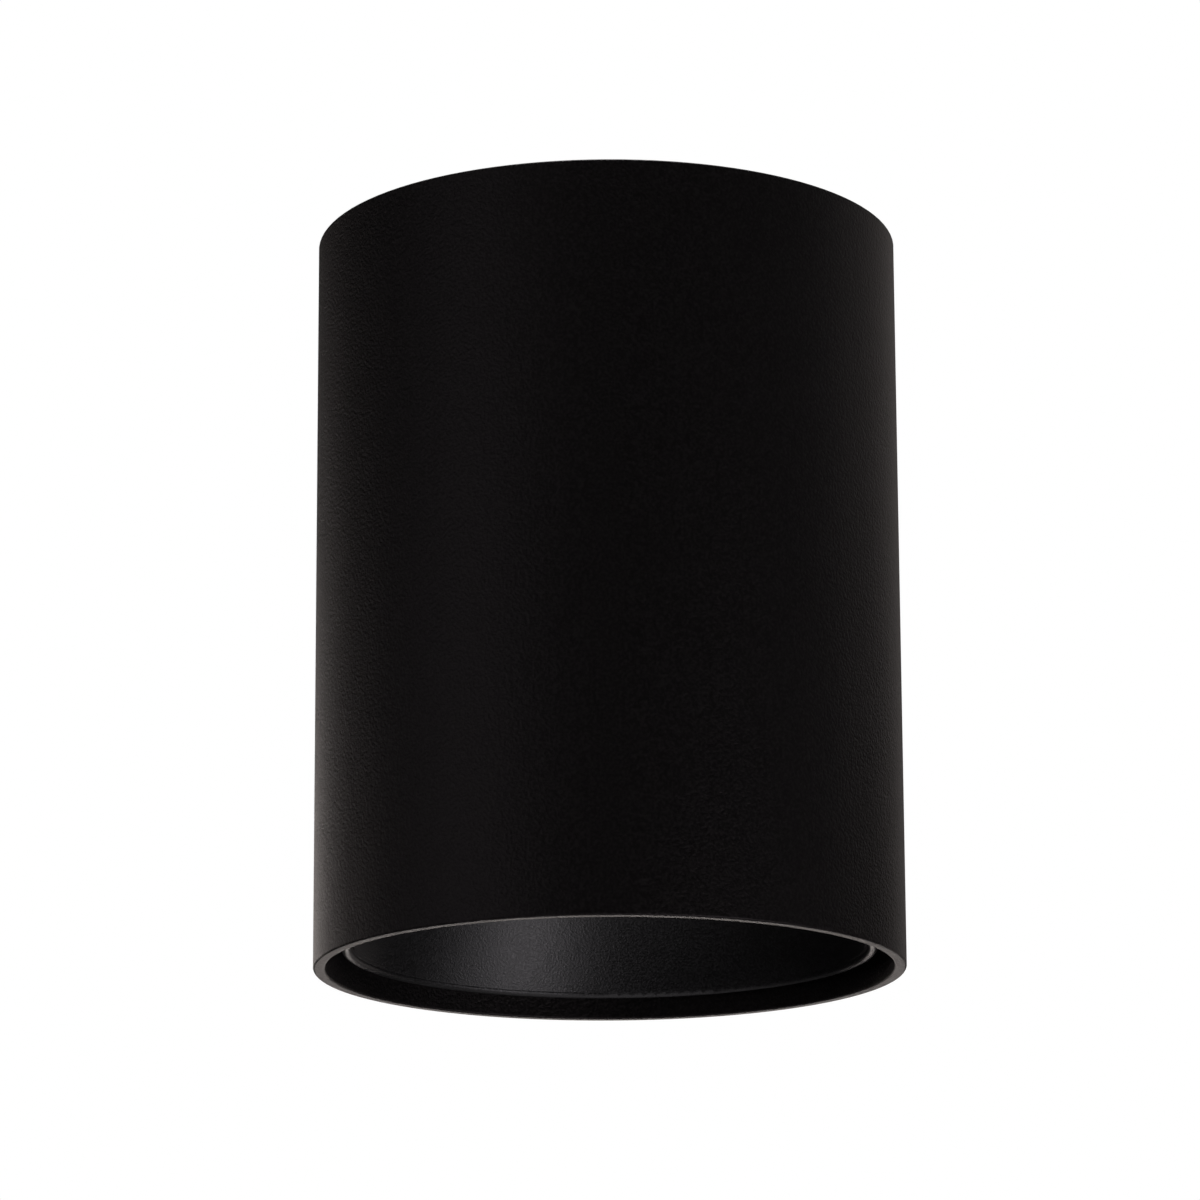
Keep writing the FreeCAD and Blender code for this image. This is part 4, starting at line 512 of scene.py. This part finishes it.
def add_block(work, centre, lengths, chamfer):
    """A block with chamfered edges."""
    made = bmesh.ops.create_cube(work, size=1.0)
    bmesh.ops.scale(work, vec=lengths, verts=made["verts"])
    bmesh.ops.translate(work, vec=centre, verts=made["verts"])
    edges = list({edge for vert in made["verts"] for edge in vert.link_edges})
    bmesh.ops.bevel(work, geom=edges, offset=chamfer, segments=2, affect="EDGES")


def add_dome(work, centre, radius, height, steps=16, rings=5):
    """A low solder dome that stands up, or down with a height below zero, with a flat foot."""
    rows = []
    for ring in range(rings):
        lift = ring / rings
        reach = radius * math.sqrt(1 - lift * lift)
        rows.append([work.verts.new((centre[0] + reach * math.cos(FULL_TURN * step / steps),
                                     centre[1] + reach * math.sin(FULL_TURN * step / steps),
                                     centre[2] + height * lift)) for step in range(steps)])
    tip = work.verts.new((centre[0], centre[1], centre[2] + height))
    for low, high in zip(rows, rows[1:]):
        for step in range(steps):
            after = (step + 1) % steps
            work.faces.new((low[step], low[after], high[after], high[step]))
    for step in range(steps):
        work.faces.new((rows[-1][step], rows[-1][(step + 1) % steps], tip))
    work.faces.new(list(reversed(rows[0])))


def middle_of(node):
    """The middle of a node's box."""
    low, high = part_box(node)
    return (low + high) / 2


class DOWNLIGHT_OT_housing(bpy.types.Operator):
    """Coat the housing tube in black powder."""

    bl_idname = "downlight.housing"
    bl_label = "Housing tube"

    def execute(self, context):
        scene = context.scene
        coat = scene.downlight_coat
        material = effect_material(
            "black powder coat", "Powder grit",
            {"Colour": coat.coat_colour, "Specks": coat.coat_speck_colour,
             "Grit size": coat.grit_size, "Ripple size": coat.peel_size, "Ripple share": 0.3,
             "Roughness": coat.coat_roughness, "Roughness change": 0.22},
            height=coat.grit_height, Specular_Tint=(1.0, 0.86, 0.92),
        )
        dress(material, "housing_tube")
        return {"FINISHED"}


class DOWNLIGHT_OT_reflector(bpy.types.Operator):
    """Give the reflector its satin black and the diffuser its opal."""

    bl_idname = "downlight.reflector"
    bl_label = "Reflector and diffuser"

    def execute(self, context):
        scene = context.scene
        coat = scene.downlight_coat
        satin = effect_material(
            "satin black reflector", "Powder grit",
            {"Colour": coat.reflector_colour, "Specks": shaded(coat.reflector_colour, 6.0),
             "Grit size": 0.7 * coat.grit_size, "Ripple size": coat.peel_size, "Ripple share": 0.2,
             "Roughness": coat.reflector_roughness, "Roughness change": 0.32},
            height=0.45 * coat.grit_height, Specular_IOR_Level=1.0, Specular_Tint=(1.0, 0.95, 1.0),
        )
        dress(satin, "reflector")
        opal = effect_material(
            "opal diffuser", "Moulded skin",
            {"Colour": coat.diffuser_colour, "Shade": shaded(coat.diffuser_colour, 0.94),
             "Skin size": 0.15 * MILLIMETRE, "Roughness": 0.42, "Roughness change": 0.1},
            height=0.01 * MILLIMETRE, Subsurface_Weight=0.6, Subsurface_Scale=0.002,
        )
        dress(opal, "diffuser")
        return {"FINISHED"}


class DOWNLIGHT_OT_ceiling_side(bpy.types.Operator):
    """Finish the ceiling plate with its studs, springs, rivets and grommet."""

    bl_idname = "downlight.ceiling_side"
    bl_label = "Ceiling plate"

    def execute(self, context):
        scene = context.scene
        tone = scene.downlight_metal
        skin = scene.downlight_plastic
        grain = tone.grain_size
        plated = metal("zinc plated sheet", tone.zinc_colour, grain, 0.5, ALONG_Y, tone.worn_edge)
        dress(plated, "mounting_plate", "shoulder_studs", "bayonet_ring", "gear_tray")
        strip = metal("spring strip", tone.spring_colour, grain, 0.3, ALONG_X)
        dress(strip, "preload_springs", "clamp_springs", "lever_pin")
        rivets = metal("rivet aluminium", tone.aluminium_colour, grain, 0.36, EVEN)
        dress(rivets, "spring_rivets")
        rubber = plastic("grommet rubber", skin.rubber_colour, 3 * skin.skin_size, 0.68)
        dress(rubber, "cable_grommet")
        return {"FINISHED"}


class DOWNLIGHT_OT_screws(bpy.types.Operator):
    """Finish every screw and washer."""

    bl_idname = "downlight.screws"
    bl_label = "Screws"

    def execute(self, context):
        scene = context.scene
        tone = scene.downlight_metal
        plated = metal("screw zinc", tone.screw_colour, tone.grain_size, 0.34, PLATED_Z,
                       tone.worn_edge)
        dress(plated, "ring_screws", "sink_screws", "tray_screws", "driver_screws", "block_screws",
              "clamp_screw", "earth_screw", "earth_washer", "holder_screws")
        return {"FINISHED"}


class DOWNLIGHT_OT_heat_sink(bpy.types.Operator):
    """Finish the heat sink and the pillars on it."""

    bl_idname = "downlight.heat_sink"
    bl_label = "Heat sink"

    def execute(self, context):
        scene = context.scene
        tone = scene.downlight_metal
        dress(metal("heat sink aluminium", tone.aluminium_colour, tone.grain_size, 0.46,
                    EXTRUDED_Y, tone.worn_edge), "heat_sink")
        dress(metal("pillar brass", tone.brass_colour, tone.grain_size, 0.3,
                    TURNED_Z, tone.worn_edge), "tray_pillars")
        return {"FINISHED"}


class DOWNLIGHT_OT_driver_case(bpy.types.Operator):
    """Finish the driver's case, its sheet and the colour selector."""

    bl_idname = "downlight.driver_case"
    bl_label = "Driver case"

    def execute(self, context):
        scene = context.scene
        skin = scene.downlight_plastic
        white = plastic("white plastic", skin.white_colour, skin.skin_size, 0.5)
        dress(white, "driver_base", "driver_cover", "selector_slider", "led_holder")
        dress(plastic("black plastic", skin.black_colour, skin.skin_size, 0.45),
              "driver_chips", "selector_body", "cable_clamp")
        film = plastic("insulating film", (0.62, 0.55, 0.36), 4 * skin.skin_size, 0.25)
        dress(film, "insulating_sheet")
        return {"FINISHED"}


class DOWNLIGHT_OT_driver_board(bpy.types.Operator):
    """Finish what stands on the driver's board, and add its small parts."""

    bl_idname = "downlight.driver_board"
    bl_label = "Driver board"

    def execute(self, context):
        scene = context.scene
        skin = scene.downlight_plastic
        tone = scene.downlight_metal
        sizes = scene.downlight_board
        dress(self.board_material(), "driver_board")
        ferrite = plastic("ferrite", (0.045, 0.045, 0.048), 2 * skin.skin_size, 0.55)
        dress(ferrite, "transformer_core")
        dress(self.tape_material(), "transformer_winding")
        dress(self.can_material(tone), "reservoir_capacitor", "output_capacitor")
        dress(plastic("film case", (0.32, 0.025, 0.015), skin.skin_size, 0.22), "film_capacitor")
        dress(plastic("bobbin", (0.05, 0.05, 0.05), skin.skin_size, 0.5), "filter_choke")
        copper = metal("enamelled copper", tone.copper_colour, tone.grain_size, 0.22, EVEN)
        place_piece(self.choke_turns(sizes), copper)
        solder = metal("solder", (0.6, 0.6, 0.61), tone.grain_size, 0.25, EVEN)
        place_piece(self.solder_joints(sizes), solder)
        ceramic = plastic("resistor ceramic", (0.03, 0.03, 0.032), skin.skin_size, 0.3)
        place_piece(self.resistor_row(sizes), ceramic)
        return {"FINISHED"}

    def board_material(self):
        """Green lacquer over copper tracks that run square to the board's sides."""
        material, tree, shader = new_material(
            "circuit board", {"Roughness": 0.32, "Coat Weight": 0.3})
        parts = add_node(tree, "ShaderNodeSeparateXYZ", Vector=object_place(tree))
        track_share = 0.35
        tracks = []
        for axis, pitch in (("X", 2.5 * MILLIMETRE), ("Y", 3.1 * MILLIMETRE)):
            cells = calc(tree, "FRACT", calc(tree, "DIVIDE", parts.outputs[axis], pitch))
            tracks.append(calc(tree, "LESS_THAN", cells, track_share))
        blocks = add_node(tree, "ShaderNodeTexVoronoi", {"feature": "F1"},
                          Vector=object_place(tree), Scale=150.0)
        pick = calc(tree, "GREATER_THAN", blocks.outputs["Distance"], 0.5)
        lines = add_node(tree, "ShaderNodeMix", {"data_type": "FLOAT"}, Factor=pick)
        feed(tree, lines.inputs[2], tracks[0])
        feed(tree, lines.inputs[3], tracks[1])
        mask = lines.outputs[0]
        colour = mix_colours(tree, mask, (0.012, 0.075, 0.03), (0.03, 0.14, 0.055))
        tree.links.new(colour, shader.inputs["Base Color"])
        bump(tree, shader, mask, 0.03 * MILLIMETRE)
        return material

    def tape_material(self):
        """Yellow tape wound in overlapping layers."""
        material, tree, shader = new_material("winding tape", {"Roughness": 0.28})
        parts = add_node(tree, "ShaderNodeSeparateXYZ", Vector=object_place(tree))
        tape_step = 1.7 * MILLIMETRE
        turns = calc(tree, "FRACT", calc(tree, "DIVIDE", parts.outputs["Z"], tape_step))
        seam = ramp(tree, turns, 0.0, 0.12)
        colour = mix_colours(tree, seam, (0.32, 0.2, 0.01), (0.62, 0.42, 0.03))
        tree.links.new(colour, shader.inputs["Base Color"])
        bump(tree, shader, seam, 0.06 * MILLIMETRE)
        return material

    def can_material(self, tone):
        """A dark sleeve with a pale stripe down one side and a bare metal top."""
        material, tree, shader = new_material("capacitor sleeve", {})
        up = add_node(tree, "ShaderNodeSeparateXYZ",
                      Vector=add_node(tree, "ShaderNodeTexCoord").outputs["Normal"])
        top = ramp(tree, up.outputs["Z"], 0.7, 0.8)
        stripe = ramp(tree, up.outputs["X"], 0.9, 0.92)
        sleeve = mix_colours(tree, stripe, (0.014, 0.02, 0.06), (0.55, 0.56, 0.58))
        grain = noise(tree, object_place(tree), 0.2 * MILLIMETRE, 2.0)
        bare = mix_colours(tree, grain, tone.aluminium_colour, shaded(tone.aluminium_colour, 0.8))
        tree.links.new(mix_colours(tree, top, sleeve, bare), shader.inputs["Base Color"])
        tree.links.new(top, shader.inputs["Metallic"])
        tree.links.new(varied(tree, 0.3, 0.15, grain), shader.inputs["Roughness"])
        return material

    def choke_turns(self, sizes):
        """Wire wound on the choke's waist, in one unbroken run from flange to flange."""
        low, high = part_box("filter_choke")
        centre = middle_of("filter_choke")
        flange = 1.2 * MILLIMETRE
        waist_depth = MILLIMETRE
        waist = (high.x - low.x) / 2 - waist_depth
        radius = waist + sizes.wire_diameter / 2 + sizes.wire_gap
        start = low.z + flange + sizes.wire_diameter
        end = high.z - flange - sizes.wire_diameter
        turns = int((end - start) / (sizes.wire_diameter + sizes.wire_gap))
        steps = 24
        curve = bpy.data.curves.new("choke_turns", "CURVE")
        curve.dimensions = "3D"
        curve.bevel_depth = sizes.wire_diameter / 2
        curve.bevel_resolution = 3
        curve.use_fill_caps = True
        line = curve.splines.new("POLY")
        count = turns * steps + 1
        line.points.add(count - 1)
        for index in range(count):
            angle = FULL_TURN * index / steps
            level = start + (end - start) * index / (count - 1)
            line.points[index].co = (centre.x + radius * math.cos(angle),
                                     centre.y + radius * math.sin(angle), level, 1.0)
        piece = bpy.data.objects.new("choke_turns", curve)
        bpy.context.scene.collection.objects.link(piece)
        return piece

    def solder_joints(self, sizes):
        """Domes of solder under the legs of the large parts."""
        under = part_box("driver_board")[0].z
        leg_offset = 1.6 * MILLIMETRE
        hang = -0.6 * sizes.joint_radius

        def build(work):
            for name in LEGGED_PARTS:
                centre = middle_of(name)
                for side in (-leg_offset, leg_offset):
                    add_dome(work, (centre.x + side, centre.y, under), sizes.joint_radius, hang)

        return mesh_piece("solder_joints", build)

    def resistor_row(self, sizes):
        """Flat resistors in free places between the large parts."""
        low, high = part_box("driver_board")
        taken = [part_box(name) for name in (*LEGGED_PARTS, *OTHER_BOARD_PARTS)]
        length = sizes.resistor_length
        apart = 1.6 * length
        width = 0.6 * length
        height = 0.3 * length
        chamfer = 0.05 * length
        draw = random.Random(sizes.seed)
        places = []
        while len(places) < sizes.resistors:
            x = draw.uniform(low.x + length, high.x - length)
            y = draw.uniform(low.y + length, high.y - length)
            clear = all(
                x + length < a.x or x - length > b.x or y + length < a.y or y - length > b.y
                for a, b in taken
            )
            if clear and all(math.hypot(x - p, y - q) > apart for p, q in places):
                places.append((x, y))

        def build(work):
            for x, y in places:
                add_block(work, (x, y, high.z + height / 2), (length, width, height), chamfer)

        return mesh_piece("flat_resistors", build)


class DOWNLIGHT_OT_terminal(bpy.types.Operator):
    """Finish the terminal block with its levers and contacts."""

    bl_idname = "downlight.terminal"
    bl_label = "Terminal block"

    def execute(self, context):
        scene = context.scene
        skin = scene.downlight_plastic
        tone = scene.downlight_metal
        dress(plastic("grey plastic", skin.grey_colour, skin.skin_size, 0.42), "terminal_block")
        dress(plastic("lever plastic", skin.orange_colour, skin.skin_size, 0.33),
              "line_lever", "neutral_lever", "earth_lever")
        dress(metal("contact copper", tone.copper_colour, tone.grain_size, 0.3, STAMPED_Y),
              "contact_bars", "earth_lug")
        return {"FINISHED"}


class DOWNLIGHT_OT_wiring(bpy.types.Operator):
    """Colour the insulated leads."""

    bl_idname = "downlight.wiring"
    bl_label = "Leads"

    def execute(self, context):
        scene = context.scene
        size = scene.downlight_plastic.skin_size
        for name, colour in (
            ("line_lead", (0.11, 0.035, 0.012)),
            ("neutral_lead", (0.012, 0.06, 0.36)),
            ("positive_lead", (0.45, 0.012, 0.01)),
            ("negative_lead", (0.015, 0.015, 0.016)),
        ):
            dress(plastic(name.replace("_", " "), colour, size, 0.36), name)
        dress(self.striped_material(), "earth_lead")
        return {"FINISHED"}

    def striped_material(self):
        """Green insulation with a yellow stripe along its upper side."""
        material, tree, shader = new_material("earth lead", {"Roughness": 0.36})
        up = add_node(tree, "ShaderNodeSeparateXYZ",
                      Vector=add_node(tree, "ShaderNodeTexCoord").outputs["Normal"])
        stripe = ramp(tree, calc(tree, "ABSOLUTE", up.outputs["Z"]), 0.6, 0.64)
        colour = mix_colours(tree, stripe, (0.02, 0.2, 0.04), (0.7, 0.55, 0.03))
        tree.links.new(colour, shader.inputs["Base Color"])
        skin = noise(tree, object_place(tree), 0.2 * MILLIMETRE, 2.0)
        bump(tree, shader, skin, 0.01 * MILLIMETRE)
        return material


class DOWNLIGHT_OT_light_source(bpy.types.Operator):
    """Finish the light source and put the white dam round its light field."""

    bl_idname = "downlight.light_source"
    bl_label = "Light source"

    def execute(self, context):
        scene = context.scene
        skin = scene.downlight_plastic
        dress(plastic("thermal pad", (0.3, 0.31, 0.33), 2 * skin.skin_size, 0.7), "thermal_pad")
        dress(plastic("lamp board", (0.74, 0.74, 0.71), skin.skin_size, 0.4), "led_board")
        dress(self.field_material(), "led_emitter")
        dam = plastic("dam", (0.8, 0.8, 0.78), skin.skin_size, 0.35)
        place_piece(self.dam_ring(scene.downlight_board), dam)
        return {"FINISHED"}

    def field_material(self):
        """Yellow silicone with the faint square pattern of the chips under it."""
        material, tree, shader = new_material("light field", {"Roughness": 0.3, "Coat Weight": 0.2})
        parts = add_node(tree, "ShaderNodeSeparateXYZ", Vector=object_place(tree))
        chip_pitch = 1.5 * MILLIMETRE
        gap_share = 0.4
        squares = []
        for axis in ("X", "Y"):
            cell = calc(tree, "FRACT", calc(tree, "DIVIDE", parts.outputs[axis], chip_pitch))
            squares.append(calc(tree, "GREATER_THAN", cell, gap_share))
        chip = calc(tree, "MULTIPLY", *squares)
        colour = mix_colours(tree, chip, (0.78, 0.5, 0.06), (0.7, 0.4, 0.035))
        tree.links.new(colour, shader.inputs["Base Color"])
        bump(tree, shader, noise(tree, object_place(tree), MILLIMETRE, 1.0), 0.02 * MILLIMETRE)
        return material

    def dam_ring(self, sizes):
        """A ring with a round underside, from the board to just below the light field."""
        low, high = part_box("led_emitter")
        centre = middle_of("led_emitter")
        radius = (high.x - low.x) / 2
        width = sizes.dam_width
        gap = 0.05 * MILLIMETRE
        past_field = 0.1 * MILLIMETRE
        top = high.z
        bottom = low.z - past_field
        steps = 8
        profile = [(radius + gap, top)]
        for step in range(steps + 1):
            angle = math.pi * step / steps
            profile.append((radius + gap + width / 2 - width / 2 * math.cos(angle),
                            bottom + width / 2 - width / 2 * math.sin(angle)))
        profile.append((radius + gap + width, top))
        return mesh_piece("light_field_dam", lambda work: add_lathe(work, profile, centre, 96))


class DOWNLIGHT_OT_stage(bpy.types.Operator):
    """Set up the pale floor, the soft lights, the room and the camera."""

    bl_idname = "downlight.stage"
    bl_label = "Studio"

    def execute(self, context):
        scene = context.scene
        setup = scene.downlight_stage
        self.floor(setup)
        self.room(scene, setup)
        self.lights()
        self.camera(scene, setup)
        scene.view_settings.view_transform = "Standard"
        return {"FINISHED"}

    def floor(self, setup):
        """A pale floor that the camera sees evenly lit."""
        reach = FLOOR_REACH

        def build(work):
            corners = ((-reach, -reach), (reach, -reach), (reach, reach), (-reach, reach))
            work.faces.new([work.verts.new((x, y, setup.floor_level)) for x, y in corners])

        floor = mesh_piece("floor", build)
        material, tree, shader = new_material("pale floor", {"Roughness": 0.7})
        cloud = noise(tree, object_place(tree), 0.4, 3.0)
        colour = mix_colours(tree, cloud, setup.floor_colour, shaded(setup.floor_colour, 0.97))
        tree.links.new(colour, shader.inputs["Base Color"])
        way = add_node(tree, "ShaderNodeLightPath")
        seen = mix_colours(tree, way.outputs["Is Camera Ray"], (0.0, 0.0, 0.0), setup.floor_colour)
        tree.links.new(seen, shader.inputs["Emission Color"])
        shader.inputs["Emission Strength"].default_value = FLOOR_GLOW
        floor.data.materials.append(material)

    def room(self, scene, setup):
        """White behind the object for the camera, and the room light for everything else."""
        world = bpy.data.worlds.new("studio")
        scene.world = world
        world.use_nodes = True
        tree = world.node_tree
        tree.nodes.clear()
        lit = add_node(tree, "ShaderNodeBackground", Color=PLAIN_LIGHT, Strength=setup.room_light)
        seen = add_node(tree, "ShaderNodeBackground", Color=PLAIN_LIGHT, Strength=1.0)
        way = add_node(tree, "ShaderNodeLightPath")
        mixed = add_node(tree, "ShaderNodeMixShader", Fac=way.outputs["Is Camera Ray"])
        tree.links.new(lit.outputs["Background"], mixed.inputs[1])
        tree.links.new(seen.outputs["Background"], mixed.inputs[2])
        end = add_node(tree, "ShaderNodeOutputWorld")
        tree.links.new(mixed.outputs["Shader"], end.inputs["Surface"])

    def lights(self):
        for row in SOFT_BOXES:
            self.soft_box(*row)

    def soft_box(self, name, turn, rise, width, height, power, colour):
        """A soft box that faces the object and that the camera doesn't see."""
        light = bpy.data.lights.new(name, "AREA")
        light.shape = "RECTANGLE"
        light.size = width
        light.size_y = height
        light.energy = power
        light.color = colour
        box = bpy.data.objects.new(name, light)
        across, up = math.radians(turn), math.radians(rise)
        way = Vector((
            math.sin(across) * math.cos(up), -math.cos(across) * math.cos(up), math.sin(up),
        ))
        place = Matrix.Translation(Vector(BOX_TARGET) + BOX_DISTANCE * way)
        box.matrix_world = place @ (-way).to_track_quat("-Z", "Y").to_matrix().to_4x4()
        box.visible_camera = False
        bpy.context.scene.collection.objects.link(box)

    def camera(self, scene, setup):
        data = bpy.data.cameras.new("camera")
        data.sensor_width = SENSOR_WIDTH
        data.lens = setup.lens
        data.clip_start = 0.01
        camera = bpy.data.objects.new("camera", data)
        place = Vector((setup.eye_side, setup.eye_back, setup.eye_height))
        tilt = Matrix.Rotation(math.pi / 2 + setup.eye_pitch, 4, "X")
        roll = Matrix.Rotation(setup.eye_roll, 4, "Z")
        camera.matrix_world = Matrix.Translation(place) @ tilt @ roll
        scene.collection.objects.link(camera)
        scene.camera = camera


STEPS = (
    DOWNLIGHT_OT_housing,
    DOWNLIGHT_OT_reflector,
    DOWNLIGHT_OT_ceiling_side,
    DOWNLIGHT_OT_screws,
    DOWNLIGHT_OT_heat_sink,
    DOWNLIGHT_OT_driver_case,
    DOWNLIGHT_OT_driver_board,
    DOWNLIGHT_OT_terminal,
    DOWNLIGHT_OT_wiring,
    DOWNLIGHT_OT_light_source,
    DOWNLIGHT_OT_stage,
)


class DOWNLIGHT_PT_panel(bpy.types.Panel):
    """Lists the downlight's steps and its settings."""

    bl_idname = "DOWNLIGHT_PT_panel"
    bl_label = "Downlight"
    bl_space_type = "VIEW_3D"
    bl_region_type = "UI"
    bl_category = "Downlight"

    def draw(self, context):
        for step in STEPS:
            self.layout.operator(step.bl_idname)
        for name, kind in SETTINGS.items():
            box = self.layout.box()
            box.label(text=kind.__doc__)
            group = getattr(context.scene, name)
            for label in kind.__annotations__:
                box.prop(group, label)


CLASSES = (*SETTINGS.values(), *STEPS, DOWNLIGHT_PT_panel)


def register():
    for kind in CLASSES:
        bpy.utils.register_class(kind)
    for name, kind in SETTINGS.items():
        setattr(bpy.types.Scene, name, PointerProperty(type=kind))


def unregister():
    for name in SETTINGS:
        delattr(bpy.types.Scene, name)
    for kind in reversed(CLASSES):
        bpy.utils.unregister_class(kind)


def main():
    register()
    for step in STEPS:
        category, name = step.bl_idname.split(".")
        getattr(getattr(bpy.ops, category), name)()
    bpy.context.view_layer.update()


if __name__ == "__main__":
    main()
